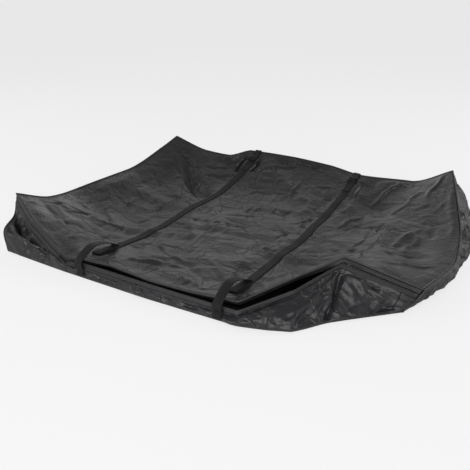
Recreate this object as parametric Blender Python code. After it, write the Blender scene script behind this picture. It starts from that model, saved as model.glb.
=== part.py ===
"""Soft cargo bag for a car roof, empty and collapsed on its base.

The bag is a box of thin coated cloth: a lid, four walls and a base, sewn together with
piping. Its front edge opens with a zip that has two sliders. Two webbing straps run over
the lid from front to back, and each threads through a ladder-lock buckle at the back.

Frame: +X along the length, +Y from the front to the back, +Z up, the base on z = 0.
All sizes are in metres.
"""
import math

import bpy
import numpy as np

# Main sizes of the bag
BAG_LENGTH = 1.10
BAG_WIDTH = 0.92
CORNER_RISE = 0.15

# Cloth, piping and seams
CLOTH = 0.0012
BASE_CLOTH = 0.0016
PIPING_RADIUS = 0.0022
CORNER_RADIUS = 0.0014
SEAM_GAP = 0.0003
SEAM_HALF = PIPING_RADIUS + SEAM_GAP + 0.0006
CORNER_HALF = CORNER_RADIUS + SEAM_GAP
UNDER_RUN = 0.055
FOLD_RADIUS = 0.004
LID_FLOOR = 0.018

# Webbing and the ladder-lock buckles
WEB_WIDTH = 0.025
WEB_THICKNESS = 0.0014
STRAP_OFFSET = 0.2125
LAYER_GAP = 0.0004
BAR = 0.0028
BAR_PITCH = 0.0105
BUCKLE_SIDE = 0.0035
BUCKLE_CLEARANCE = 0.0012
TAIL_LENGTH = 0.060
ANCHOR_OVERLAP = 0.026

# Zip
TAPE_WIDTH = 0.0080
TAPE_THICKNESS = 0.0008
TAPE_HINGE = CLOTH + 3 * SEAM_GAP
COIL_GAP = 0.0007
COIL = 0.0018
COIL_SPACING = 0.0016
SLIDER_LENGTH = 0.011
SLIDER_WIDTH = 0.0085
SLIDER_PLATE = 0.0011
SLIDER_GAP = 0.0004
SLIDER_FROM_MOUTH = 0.018
BRIDGE_HALF = 0.0040
BRIDGE_INSIDE = 0.0018
BRIDGE_WIDTH = 0.0018
BRIDGE_ROOF = 0.0010
PULL_LENGTH = 0.030
PULL_WIDTH = 0.0050
PULL_ARM = 0.0011
PULL_EYE = 0.0062
PIN_RADIUS = 0.0008

HALF_LENGTH = BAG_LENGTH / 2
HALF_WIDTH = BAG_WIDTH / 2
ZIP_BAND = SEAM_HALF + 2 * (TAPE_WIDTH + COIL_GAP + COIL) + COIL_SPACING + TAPE_HINGE


def at(x, y, z=0.0):
    """A point given as parts of the half length, half width and corner rise."""
    return np.array([x * HALF_LENGTH, y * HALF_WIDTH, z * CORNER_RISE])


# Key places along the lid's edge. The first value of each is the grid column (a part of
# the half length) or the grid row (from 0 at the front to 1 at the back).
FRONT_EDGE = [
    (-1.000, at(-0.987, -0.913, 1.00)),
    (-0.764, at(-0.764, -1.033, 0.72)),
    (-0.484, at(-0.484, -1.113, 0.33)),
    (-0.244, at(-0.244, -1.065, 0.30)),
    (0.018, at(0.018, -1.096, 0.30)),
    (0.229, at(0.229, -1.087, 0.30)),
    (0.460, at(0.460, -1.067, 0.33)),
    (0.644, at(0.644, -0.809, 0.60)),
    (0.784, at(0.784, -0.620, 0.80)),
    (1.000, at(1.122, -0.524, 0.40)),
]
BACK_EDGE = [
    (-1.000, at(-1.007, 0.917, 0.93)),
    (-0.764, at(-0.764, 0.952, 0.62)),
    (-0.567, at(-0.567, 0.978, 0.56)),
    (-0.445, at(-0.445, 1.100, 0.66)),
    (-0.107, at(-0.107, 1.124, 0.63)),
    (0.173, at(0.173, 1.110, 0.57)),
    (0.405, at(0.405, 1.050, 0.50)),
    (0.733, at(0.733, 1.150, 0.45)),
    (1.000, at(0.976, 1.133, 0.87)),
]
LEFT_EDGE = [
    (0.000, at(-0.987, 0.0, 1.00)),
    (0.144, at(-0.991, 0.0, 0.67)),
    (0.346, at(-1.053, 0.0, 0.50)),
    (0.640, at(-1.033, 0.0, 0.50)),
    (0.895, at(-1.013, 0.0, 0.78)),
    (1.000, at(-1.007, 0.0, 0.93)),
]
RIGHT_EDGE = [
    (0.000, at(1.122, 0.0, 0.40)),
    (0.247, at(1.191, 0.0, 0.40)),
    (0.470, at(1.160, 0.0, 0.45)),
    (0.651, at(1.104, 0.0, 0.57)),
    (1.000, at(0.976, 0.0, 0.87)),
]

# Where the walls meet the ground
FRONT_GROUND = [
    (-1.000, at(-0.927, -1.093)),
    (-0.764, at(-0.762, -1.107)),
    (-0.484, at(-0.484, -1.122)),
    (0.018, at(0.018, -1.130)),
    (0.460, at(0.480, -1.118)),
    (0.644, at(0.693, -1.033)),
    (0.784, at(0.800, -0.870)),
    (1.000, at(1.051, -0.585)),
]
BACK_GROUND = [
    (-1.000, at(-1.027, 0.978)),
    (-0.567, at(-0.567, 1.050)),
    (-0.445, at(-0.445, 1.160)),
    (-0.107, at(-0.107, 1.185)),
    (0.405, at(0.405, 1.135)),
    (0.733, at(0.733, 1.196)),
    (1.000, at(1.060, 1.185)),
]
LEFT_GROUND = [
    (0.000, at(-0.927, -1.093)),
    (0.144, at(-1.027, -0.674)),
    (0.346, at(-1.091, -0.283)),
    (0.640, at(-1.073, 0.261)),
    (0.895, at(-1.045, 0.739)),
    (1.000, at(-1.027, 0.978)),
]
RIGHT_GROUND = [
    (0.000, at(1.051, -0.585)),
    (0.247, at(1.164, -0.109)),
    (0.470, at(1.191, 0.261)),
    (0.651, at(1.164, 0.587)),
    (1.000, at(1.060, 1.185)),
]

# The front wall's own top edge where the mouth stands open
MOUTH_START = -0.484
MOUTH_END = 0.784
LIP = [
    (-0.364, at(-0.364, -1.120, 0.155)),
    (0.018, at(0.018, -1.122, 0.155)),
    (0.229, at(0.229, -1.117, 0.155)),
    (0.460, at(0.474, -1.108, 0.165)),
    (0.644, at(0.655, -0.902, 0.46)),
]

# How far out, and how high, the fold along each wall stands: parts of the way from the
# lid's edge to the ground, then parts of the edge's height, then metres of bulge.
FRONT_FOLD = [
    (-1.000, 1.00, 0.47, 0.004),
    (-0.764, 0.92, 0.56, 0.002),
    (-0.560, 0.80, 0.48, 0.002),
    (-0.400, 0.62, 0.40, 0.002),
    (0.460, 0.62, 0.40, 0.004),
    (0.784, 0.55, 0.45, 0.004),
    (1.000, 0.55, 0.45, 0.004),
]
LEFT_FOLD = [
    (0.000, 1.00, 0.47, 0.004),
    (0.300, 0.70, 0.38, 0.014),
    (1.000, 0.60, 0.40, 0.006),
]
RIGHT_FOLD = [
    (0.000, 0.55, 0.45, 0.004),
    (0.250, 0.65, 0.42, 0.012),
    (0.650, 0.70, 0.42, 0.024),
    (1.000, 0.60, 0.40, 0.006),
]
BACK_FOLD = [
    (-1.000, 0.60, 0.40, 0.006),
    (0.000, 0.65, 0.38, 0.010),
    (1.000, 0.60, 0.40, 0.006),
]

# Folds on the lid: the two ends, then the height (minus for a valley) and half width
LID_FOLDS = [
    (at(-0.93, -0.62), at(-0.20, -0.40), 0.010, 0.045),
    (at(-0.30, -0.30), at(0.36, -0.16), -0.007, 0.035),
    (at(0.40, -0.38), at(1.00, -0.02), 0.009, 0.040),
    (at(-0.80, 0.68), at(-0.30, 0.10), -0.008, 0.050),
    (at(-0.14, -0.80), at(0.30, -0.55), 0.010, 0.045),
    (at(0.42, 0.62), at(0.90, 0.20), 0.008, 0.045),
    (at(-0.10, 0.30), at(0.36, 0.42), 0.008, 0.040),
    (at(-0.95, 0.10), at(-0.50, 0.02), 0.009, 0.045),
]


def unit(vector):
    """The vector at length one."""
    return vector / np.linalg.norm(vector)


def rail(keys, where):
    """The place on a rail of key places, straight between them."""
    stations = [key[0] for key in keys]
    values = np.array([np.atleast_1d(key[1]) for key in keys])
    return np.array([np.interp(where, stations, values[:, k]) for k in range(values.shape[1])])


def fold_values(keys, where):
    """The fold's three values at one place along a wall."""
    stations = [key[0] for key in keys]
    return [np.interp(where, stations, [key[k] for key in keys]) for k in (1, 2, 3)]


def curve(points, count):
    """A smooth path through the points, as count + 1 places."""
    points = np.array(points, dtype=float)
    padded = np.vstack([2 * points[0] - points[1], points, 2 * points[-1] - points[-2]])
    places = []
    for step in range(count + 1):
        along = step / count * (len(points) - 1)
        first = min(int(along), len(points) - 2)
        t = along - first
        a, b, c, d = padded[first:first + 4]
        place = 2 * b + (c - a) * t + (2 * a - 5 * b + 4 * c - d) * t**2
        places.append((place + (3 * b - a - 3 * c + d) * t**3) / 2)
    return np.array(places)


def remove_start_objects():
    """Empty the scene."""
    for item in list(bpy.data.objects):
        bpy.data.objects.remove(item, do_unlink=True)


def material(name, colour, roughness, metallic=0.0):
    """A plain Principled material."""
    made = bpy.data.materials.new(name)
    made.use_nodes = True
    shader = made.node_tree.nodes["Principled BSDF"]
    shader.inputs["Base Color"].default_value = (*colour, 1.0)
    shader.inputs["Roughness"].default_value = roughness
    shader.inputs["Metallic"].default_value = metallic
    made.diffuse_color = (*colour, 1.0)
    return made


def add_solid(name, vertices, faces, finish, origin=(0.0, 0.0, 0.0)):
    """Make one named object from a closed mesh, facing outward, with its own origin."""
    vertices = np.array(vertices, dtype=float)
    volume = 0.0
    for face in faces:
        for k in range(1, len(face) - 1):
            a, b, c = vertices[face[0]], vertices[face[k]], vertices[face[k + 1]]
            volume += float(np.dot(a, np.cross(b, c)))
    if volume < 0:
        faces = [tuple(reversed(face)) for face in faces]
    mesh = bpy.data.meshes.new(name)
    mesh.from_pydata([tuple(v - np.array(origin)) for v in vertices], [], faces)
    mesh.materials.append(finish)
    made = bpy.data.objects.new(name, mesh)
    made.location = origin
    bpy.context.collection.objects.link(made)
    return made


def grid_normals(grid):
    """Unit normals of a grid of points."""
    along = np.gradient(grid, axis=0)
    across = np.gradient(grid, axis=1)
    normals = np.cross(along, across)
    return normals / np.linalg.norm(normals, axis=2, keepdims=True)


def triangle_pair(a, b, c, d):
    """Two triangles for the four corners of a grid cell."""
    return [(a, b, c), (a, c, d)]


def add_sheet(name, grid, thickness, finish):
    """A cloth sheet: the grid given a thickness, half to each side."""
    rows, columns = grid.shape[:2]
    lift = grid_normals(grid) * thickness / 2
    vertices = np.vstack([(grid + lift).reshape(-1, 3), (grid - lift).reshape(-1, 3)])
    under = rows * columns
    faces = []
    for i in range(rows - 1):
        for j in range(columns - 1):
            a = i * columns + j
            b = a + 1
            c = a + columns + 1
            d = a + columns
            faces += triangle_pair(a, b, c, d)
            faces += [tuple(reversed([k + under for k in tri])) for tri in triangle_pair(a, b, c, d)]
    rim = [j for j in range(columns)]
    rim += [i * columns + columns - 1 for i in range(1, rows)]
    rim += [(rows - 1) * columns + j for j in range(columns - 2, -1, -1)]
    rim += [i * columns for i in range(rows - 2, 0, -1)]
    for k, first in enumerate(rim):
        second = rim[(k + 1) % len(rim)]
        faces += triangle_pair(second, first, first + under, second + under)
    return add_solid(name, vertices, faces, finish)


def add_band(name, sections, finish, closed=False):
    """A solid swept through a row of sections that have the same number of corners."""
    sections = np.array(sections)
    count, corners = sections.shape[:2]
    faces = []
    for i in range(count if closed else count - 1):
        here = i * corners
        there = (i + 1) % count * corners
        for k in range(corners):
            following = (k + 1) % corners
            faces += triangle_pair(here + k, here + following, there + following, there + k)
    if not closed:
        faces.append(tuple(reversed(range(corners))))
        faces.append(tuple(range((count - 1) * corners, count * corners)))
    return add_solid(name, sections.reshape(-1, 3), faces, finish)


def tangents_of(path, closed):
    """Unit directions along a path."""
    if closed:
        steps = np.roll(path, -1, axis=0) - np.roll(path, 1, axis=0)
    else:
        steps = np.gradient(path, axis=0)
    return steps / np.linalg.norm(steps, axis=1, keepdims=True)


def add_piping(name, path, radius, finish, closed=False, sides=6):
    """A round cord along a path. An open path carries its section along without a twist."""
    sections = []
    tangents = tangents_of(path, closed)
    side = np.cross(tangents[0], [0.0, 0.0, 1.0])
    for place, tangent in zip(path, tangents):
        if closed:
            side = np.cross(tangent, [0.0, 0.0, 1.0])
        side = unit(side - np.dot(side, tangent) * tangent)
        above = np.cross(side, tangent)
        ring = []
        for k in range(sides):
            angle = 2 * math.pi * (k + 0.5) / sides
            ring.append(place + radius * (math.cos(angle) * side + math.sin(angle) * above))
        sections.append(ring)
    return add_band(name, sections, finish, closed)


class Lid:
    """The lid's grid: its columns run from front to back and its rows along the length."""

    ROW_COUNT = 21
    COLUMN_STEP = 0.046
    SIDE_REACH = 0.24
    END_REACH = 0.34
    RISE_POWER = 1.7
    FOLD_FADE = 0.10

    def __init__(self):
        self.columns = self.column_places()
        self.rows = np.linspace(0.0, 1.0, self.ROW_COUNT)
        self.grid = np.array([[self.place(c, r) for r in self.rows] for c in self.columns])
        self.normals = grid_normals(self.grid)
        if self.normals[0, 0, 2] < 0:
            self.normals = -self.normals

    def column_places(self):
        """Grid columns, with one on each strap edge and one on each key place."""
        fixed = [key[0] * HALF_LENGTH for key in FRONT_EDGE]
        for side in (-1, 1):
            fixed += [side * STRAP_OFFSET - WEB_WIDTH / 2, side * STRAP_OFFSET + WEB_WIDTH / 2]
        fixed = sorted(fixed)
        places = []
        for first, second in zip(fixed[:-1], fixed[1:]):
            count = max(1, round((second - first) / self.COLUMN_STEP))
            places += list(np.linspace(first, second, count + 1)[:-1])
        return np.array(places + [fixed[-1]])

    def side_shift(self, column, row):
        """How far the bowed side edges move a column."""
        reach = HALF_LENGTH * (1 - MOUTH_END)
        left = max(0.0, (-column - HALF_LENGTH + reach) / reach)
        right = max(0.0, (column - HALF_LENGTH + reach) / reach)
        shift = left * (rail(LEFT_EDGE, row)[0] + HALF_LENGTH)
        return shift + right * (rail(RIGHT_EDGE, row)[0] - HALF_LENGTH)

    def fold_height(self, x, y, row, across):
        """The height that the lid's loose folds add."""
        height = 0.0
        for start, end, rise, spread in LID_FOLDS:
            line = (end - start)[:2]
            along = np.dot(np.array([x, y]) - start[:2], line) / np.dot(line, line)
            along = min(max(along, 0.0), 1.0)
            away = np.hypot(*(np.array([x, y]) - start[:2] - along * line))
            height += rise * max(0.0, 1 - away / spread)
        edge = min(row, 1 - row, across, 1 - across) / self.FOLD_FADE
        return height * min(max(edge, 0.0), 1.0)

    def place(self, column, row):
        """One point of the lid."""
        part = column / HALF_LENGTH
        front = rail(FRONT_EDGE, part)
        back = rail(BACK_EDGE, part)
        x = column + self.side_shift(column, row)
        y = (1 - row) * front[1] + row * back[1]
        across = (part + 1) / 2
        z = LID_FLOOR + self.edge_height(across, row, front[2], back[2])
        return np.array([x, y, z + self.fold_height(x, y, row, across)])

    def edge_height(self, across, row, front, back):
        """The height that the raised edges and corners give."""
        def near(distance, reach):
            return max(0.0, 1 - distance / reach) ** self.RISE_POWER

        left = rail(LEFT_EDGE, row)[2]
        right = rail(RIGHT_EDGE, row)[2]
        to_front, to_back = near(row, self.END_REACH), near(1 - row, self.END_REACH)
        to_left, to_right = near(across, self.SIDE_REACH), near(1 - across, self.SIDE_REACH)
        height = to_front * (front - LID_FLOOR) + to_back * (back - LID_FLOOR)
        height += to_left * (left - LID_FLOOR) + to_right * (right - LID_FLOOR)
        height -= to_front * to_left * (LEFT_EDGE[0][1][2] - LID_FLOOR)
        height -= to_front * to_right * (RIGHT_EDGE[0][1][2] - LID_FLOOR)
        height -= to_back * to_left * (LEFT_EDGE[-1][1][2] - LID_FLOOR)
        height -= to_back * to_right * (RIGHT_EDGE[-1][1][2] - LID_FLOOR)
        return height

    def on_column(self, column, y):
        """The point and the normal on one grid column at a given y."""
        index = int(np.argmin(abs(self.columns - column)))
        line = self.grid[index]
        k = int(np.clip(np.searchsorted(line[:, 1], y) - 1, 0, len(line) - 2))
        t = (y - line[k, 1]) / (line[k + 1, 1] - line[k, 1])
        point = (1 - t) * line[k] + t * line[k + 1]
        normal = (1 - t) * self.normals[index, k] + t * self.normals[index, k + 1]
        return point, unit(normal)


def add_blocks(name, blocks, axes, origin, finish, pivot=(0.0, 0.0, 0.0)):
    """One solid made of blocks that share faces, each given by two opposite corners."""
    cuts = [sorted({round(b[end][k], 7) for b in blocks for end in (0, 1)}) for k in range(3)]
    shape = [len(c) - 1 for c in cuts]
    filled = np.zeros(shape, dtype=bool)
    for cell in np.ndindex(*shape):
        middle = [(cuts[k][cell[k]] + cuts[k][cell[k] + 1]) / 2 for k in range(3)]
        filled[cell] = any(all(b[0][k] < middle[k] < b[1][k] for k in range(3)) for b in blocks)
    found = {}
    vertices = []
    faces = []

    def corner(index):
        if index not in found:
            local = [cuts[k][index[k]] for k in range(3)]
            found[index] = len(vertices)
            vertices.append(np.array(origin) + sum(v * a for v, a in zip(local, axes)))
        return found[index]

    for cell in zip(*np.nonzero(filled)):
        for k in range(3):
            for side in (0, 1):
                beside = list(cell)
                beside[k] += 2 * side - 1
                if 0 <= beside[k] < shape[k] and filled[tuple(beside)]:
                    continue
                first, second = (k + 1) % 3, (k + 2) % 3
                ring = []
                for i, j in ((0, 0), (1, 0), (1, 1), (0, 1)):
                    index = [int(c) for c in cell]
                    index[k] += side
                    index[first] += i
                    index[second] += j
                    ring.append(corner(tuple(index)))
                faces.append(tuple(ring if side else reversed(ring)))
    return add_solid(name, vertices, faces, finish, pivot)


def trimmed(profiles, first=SEAM_HALF, last=SEAM_HALF):
    """The profiles with both end ones moved in along the wall, for the corner seams.

    An end moves by no more than most of the way to the profile beside it.
    """
    most = 0.8
    moved = np.array(profiles)
    for here, beside, reach in ((0, 1, first), (-1, -2, last)):
        steps = profiles[beside] - profiles[here]
        lengths = np.linalg.norm(steps, axis=1, keepdims=True)
        moved[here] = profiles[here] + steps * np.minimum(reach / lengths, most)
    return moved


class Shell:
    """The seam around the lid, the ground line and the wall profiles between them."""

    LEVELS = 5
    LEFT_DOWN = np.array([0.0, -0.30, -0.95])
    LIP_DOWN = np.array([0.0, -0.15, -0.99])
    RIGHT_DOWN = np.array([0.0, -0.70, -0.72])
    MOUTH_COLUMNS = 2
    SMOOTHING_ROUNDS = 3
    DEEP_FOLD = 0.7
    DEEP_FOLD_DRAW = 0.010
    TUCK_PART = (0.5, 0.8)
    TUCK_BANDS = 1.35
    FOOT_HEIGHT = 2.6 * FOLD_RADIUS
    TURN_HEIGHT = 0.9 * FOLD_RADIUS
    TURN_BULGE = 0.6

    def __init__(self, lid):
        parts = lid.columns / HALF_LENGTH
        grid = lid.grid
        self.seams = {
            "front": grid[:, 0],
            "right": grid[-1],
            "back": grid[::-1, -1],
            "left": grid[0, ::-1],
        }
        self.stations = {
            "front": parts,
            "right": lid.rows,
            "back": parts[::-1],
            "left": lid.rows[::-1],
        }
        rails = {"front": FRONT_GROUND, "right": RIGHT_GROUND,
                 "back": BACK_GROUND, "left": LEFT_GROUND}
        self.folds = {"front": FRONT_FOLD, "right": RIGHT_FOLD,
                      "back": BACK_FOLD, "left": LEFT_FOLD}
        self.ground = {}
        for side, keys in rails.items():
            self.ground[side] = np.array([rail(keys, s) for s in self.stations[side]])
        self.outward = self.ground_normals()
        self.zip_directions()
        self.profiles = {side: self.wall_profiles(side) for side in rails}

    def ground_normals(self):
        """Level directions away from the bag at every ground place."""
        order = ("front", "right", "back", "left")
        loop = np.vstack([self.ground[side][:-1] for side in order])
        steps = np.roll(loop, -1, axis=0) - np.roll(loop, 1, axis=0)
        normals = np.stack([steps[:, 1], -steps[:, 0], 0 * steps[:, 0]], axis=1)
        for _ in range(self.SMOOTHING_ROUNDS):
            normals = normals + np.roll(normals, 1, axis=0) + np.roll(normals, -1, axis=0)
            normals = normals / np.linalg.norm(normals, axis=1, keepdims=True)
        found = {}
        first = 0
        for side in order:
            count = len(self.ground[side])
            places = [(first + k) % len(loop) for k in range(count)]
            found[side] = normals[places]
            first += count - 1
        return found

    def zip_directions(self):
        """Directions down the wall at both closed stretches, and the front wall's top edge."""
        seam = self.seams["front"]
        parts = self.stations["front"]
        start = int(np.argmin(abs(parts - MOUTH_START)))
        end = int(np.argmin(abs(parts - MOUTH_END)))
        before = int(np.argmin(abs(parts - FRONT_EDGE[1][0])))
        self.left_along = unit(seam[before] - seam[start])
        self.right_along = unit(seam[-1] - seam[end])
        left_corner = self.corner_down("front", 0, -1.0)
        right_corner = self.corner_down("front", -1, 1.0)
        self.left_down = self.square_to(self.LEFT_DOWN, self.left_along)
        self.right_down = self.square_to(self.RIGHT_DOWN, self.right_along)
        self.mouth = (start, end)
        lip_keys = [(MOUTH_START, seam[start] + ZIP_BAND * self.left_down)]
        lip_keys += LIP
        lip_keys += [(MOUTH_END, seam[end] + ZIP_BAND * self.right_down)]
        self.down = []
        self.lip = []
        for k, part in enumerate(parts):
            along = min(max((k - start) / (end - start), 0.0), 1.0)
            share = self.mouth_share(k)
            down = unit((1 - along) * self.left_down + along * self.right_down)
            down = unit((1 - share) * down + share * self.LIP_DOWN)
            if k < before:
                down = unit(rail([(-1.0, left_corner), (parts[before], down)], part))
            if k == len(parts) - 1:
                down = right_corner
            self.down.append(down)
            inside = start < k < end
            self.lip.append(rail(lip_keys, part) if inside else seam[k] + ZIP_BAND * down)
        self.down = np.array(self.down)
        self.lip = np.array(self.lip)

    @staticmethod
    def square_to(direction, line):
        """The direction turned to stand square to a line."""
        return unit(direction - np.dot(direction, line) * line)

    def mouth_share(self, k):
        """0 where the zip is closed and 1 where the mouth stands fully open."""
        start, end = self.mouth
        return min(max(min(k - start, end - k) / self.MOUTH_COLUMNS, 0.0), 1.0)

    @staticmethod
    def drawn_in(share, outward):
        """How far a deep fold draws the wall above it inward and down."""
        pocket = max(0.0, share - Shell.DEEP_FOLD) / (1 - Shell.DEEP_FOLD)
        return Shell.DEEP_FOLD_DRAW * pocket * (outward + np.array([0.0, 0.0, 1.0]))

    @staticmethod
    def tuck_place(head, fold, share, outward):
        """A place on the wall between the lid's edge and the fold, drawn in by a deep fold."""
        least, most = Shell.TUCK_PART
        part = max(least, Shell.TUCK_BANDS * ZIP_BAND / np.linalg.norm(fold - head))
        return head + min(part, most) * (fold - head) - Shell.drawn_in(share, outward)

    def corner_down(self, side, k, station):
        """The direction down a corner seam at its top."""
        share, height, bulge = fold_values(FRONT_FOLD, station)
        head = self.seams[side][k]
        ground = self.ground[side][k]
        fold = (1 - share) * head + share * ground
        fold[2] = height * head[2]
        outward = self.outward[side][k]
        return unit(self.tuck_place(head, fold + bulge * outward, share, outward) - head)

    def wall_profiles(self, side):
        """The wall's cross-sections, from its top edge down to the base seam."""
        profiles = []
        for k, seam in enumerate(self.seams[side]):
            ground = self.ground[side][k]
            outward = self.outward[side][k]
            share, height, bulge = fold_values(self.folds[side], self.stations[side][k])
            head = self.lip[k] - ZIP_BAND * self.down[k] if side == "front" else seam
            fold = (1 - share) * head + share * ground
            fold[2] = height * head[2]
            fold = fold + bulge * outward
            tuck = self.tuck_place(head, fold, share, outward)
            top = self.lip[k] if side == "front" else seam + SEAM_HALF * unit(tuck - seam)
            if side == "front" and 0 < k < len(self.stations[side]) - 1:
                tuck = (top + fold) / 2 - self.drawn_in(share, outward)
            low = BASE_CLOTH / 2
            foot = ground + bulge * outward + np.array([0.0, 0.0, self.FOOT_HEIGHT])
            turn = ground + self.TURN_BULGE * bulge * outward
            turn = turn + np.array([0.0, 0.0, self.TURN_HEIGHT])
            under = ground - FOLD_RADIUS * outward + np.array([0.0, 0.0, low])
            half = ground - 0.5 * UNDER_RUN * outward + np.array([0.0, 0.0, low])
            last = ground - (UNDER_RUN - SEAM_HALF) * outward + np.array([0.0, 0.0, low])
            upper = curve([top, tuck, fold, foot], self.LEVELS)
            profile = np.vstack([upper, turn, under, half, last])
            profile[:, 2] = np.maximum(profile[:, 2], low)
            profiles.append(profile)
        return np.array(profiles)

    def loop(self, table):
        """One closed loop of the four sides' values."""
        return np.vstack([table[side][:-1] for side in ("front", "right", "back", "left")])


def add_lid(lid, finish):
    """The lid panel, held back from the seam by the piping."""
    grid = lid.grid.copy()
    grid[0] += SEAM_HALF * np.array([unit(v) for v in lid.grid[1] - lid.grid[0]])
    grid[-1] += SEAM_HALF * np.array([unit(v) for v in lid.grid[-2] - lid.grid[-1]])
    front = np.array([unit(v) for v in lid.grid[:, 1] - lid.grid[:, 0]])
    back = np.array([unit(v) for v in lid.grid[:, -2] - lid.grid[:, -1]])
    grid[:, 0] += SEAM_HALF * front
    grid[:, -1] += SEAM_HALF * back
    return add_sheet("lid_panel", grid, CLOTH, finish)


def add_walls(shell, finish):
    """The four wall panels."""
    for side, name, first, last in (("front", "front_wall", SEAM_HALF, SEAM_HALF),
                                    ("right", "right_wall", SEAM_HALF, CORNER_HALF),
                                    ("back", "back_wall", CORNER_HALF, CORNER_HALF),
                                    ("left", "left_wall", CORNER_HALF, SEAM_HALF)):
        add_sheet(name, trimmed(shell.profiles[side], first, last), CLOTH, finish)


def base_edge(shell, inset):
    """The loop of the base seam, moved in by an inset."""
    ground = shell.loop(shell.ground)
    return ground - (UNDER_RUN + inset) * shell.loop(shell.outward)


def add_base(shell, finish):
    """The flat base panel."""
    edge = base_edge(shell, SEAM_HALF)
    low = edge.copy()
    high = edge.copy()
    low[:, 2] = 0.0
    high[:, 2] = BASE_CLOTH
    add_band("base_panel", [low, high], finish)


def add_base_binding(shell, finish):
    """The flat tape over the seam between the walls and the base."""
    reach = SEAM_HALF - SEAM_GAP
    bottom = 0.0002
    inner = base_edge(shell, reach)
    outer = base_edge(shell, -reach)
    sections = []
    for first, second in zip(inner, outer):
        ring = []
        for place, height in ((first, bottom), (second, bottom),
                              (second, BASE_CLOTH), (first, BASE_CLOTH)):
            ring.append(np.array([place[0], place[1], height]))
        sections.append(ring)
    add_band("base_seam_binding", sections, finish, closed=True)


def add_corner_piping(shell, finish):
    """The piping down each upright corner seam."""
    for name, side, k in (("corner_piping_front_left", "left", -1),
                          ("corner_piping_front_right", "right", 0),
                          ("corner_piping_back_right", "back", 0),
                          ("corner_piping_back_left", "back", -1)):
        path = shell.profiles[side][k][1:-3].copy()
        path[:, 2] = np.maximum(path[:, 2], CORNER_RADIUS + SEAM_GAP)
        add_piping(name, path, CORNER_RADIUS, finish)


def strip_along(starts, directions, near, far):
    """A strip grid beside a line, from one distance to another."""
    return np.stack([starts + near * directions, starts + far * directions], axis=1)


def add_front_zip(shell, cloth, coil_finish):
    """The two zip tapes with their coils, closed at both ends and open at the mouth."""
    seam = shell.seams["front"]
    hanging = np.array([0.0, 0.60, -0.80])
    standing = np.array([0.0, -0.35, 0.94])
    upper = []
    lower = []
    for k, down in enumerate(shell.down):
        share = shell.mouth_share(k)
        upper.append(unit((1 - share) * down + share * hanging))
        lower.append(unit((1 - share) * -down + share * standing))
    upper = np.array(upper)
    lower = np.array(lower)
    for name, starts, directions, near in (
            ("zip_tape_upper", seam, upper, SEAM_HALF),
            ("zip_tape_lower", shell.lip, lower, TAPE_HINGE)):
        far = near + TAPE_WIDTH
        strip = trimmed(strip_along(starts, directions, near, far))
        add_sheet(name, strip, TAPE_THICKNESS, cloth)
        coil_line = starts + (far + COIL_GAP + COIL / 2) * directions
        coil_line = trimmed(coil_line[:, None, :])[:, 0]
        sections = []
        for place, direction, tangent in zip(coil_line, directions, tangents_of(coil_line, False)):
            normal = unit(np.cross(tangent, direction))
            sections.append([place + COIL / 2 * (i * direction + j * normal)
                             for i, j in ((-1, -1), (1, -1), (1, 1), (-1, 1))])
        add_band(name.replace("tape", "coil"), sections, coil_finish)


def chain_place(shell, side, distance):
    """The middle of the closed zip at a distance from the mouth, and its directions."""
    start, end = shell.mouth
    if side == "left":
        seam, along, down = shell.seams["front"][start], shell.left_along, shell.left_down
    else:
        seam, along, down = shell.seams["front"][end], shell.right_along, shell.right_down
    centre = SEAM_HALF + TAPE_WIDTH + COIL_GAP + COIL + COIL_SPACING / 2
    normal = unit(np.cross(along, down))
    if np.dot(normal, [0.0, -1.0, 0.3]) < 0:
        normal = -normal
    return seam + distance * along + centre * down, along, down, normal


def add_slider(shell, side, distance, finish, pull_finish):
    """A zip slider on the closed stretch, with its pull tab lying downhill."""
    centre, along, down, normal = chain_place(shell, side, distance)
    half_length = SLIDER_LENGTH / 2
    half_width = SLIDER_WIDTH / 2
    inner = COIL / 2 + SLIDER_GAP
    outer = inner + SLIDER_PLATE
    neck = COIL_SPACING / 2 - SEAM_GAP
    hole = 2 * math.sqrt(2) * PIN_RADIUS + 2 * SEAM_GAP
    crown = outer + hole
    side_reach = BRIDGE_WIDTH / 2
    blocks = [
        ((-half_length, -half_width, inner), (half_length, half_width, outer)),
        ((-half_length, -half_width, -outer), (half_length, half_width, -inner)),
        ((-half_length, -neck, -inner), (half_length, neck, inner)),
        ((-BRIDGE_HALF, -side_reach, outer), (-BRIDGE_INSIDE, side_reach, crown)),
        ((BRIDGE_INSIDE, -side_reach, outer), (BRIDGE_HALF, side_reach, crown)),
        ((-BRIDGE_HALF, -side_reach, crown), (BRIDGE_HALF, side_reach, crown + BRIDGE_ROOF)),
    ]
    axes = (along, down, normal)
    add_blocks(f"zip_slider_{side}", blocks, axes, centre, finish, pivot=centre)
    downhill = along if along[2] < 0 else -along
    pin = centre + (outer + hole / 2) * normal
    thick = PIN_RADIUS
    wide = PULL_WIDTH / 2
    inside = wide - PULL_ARM
    pull = [
        ((-thick, -wide, -thick), (thick, wide, thick)),
        ((thick, -wide, -thick), (PULL_EYE, -inside, thick)),
        ((thick, inside, -thick), (PULL_EYE, wide, thick)),
        ((PULL_EYE, -wide, -thick), (PULL_LENGTH, wide, thick)),
    ]
    add_blocks(f"zip_pull_{side}", pull, (downhill, down, normal), pin, pull_finish, pivot=pin)


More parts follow.
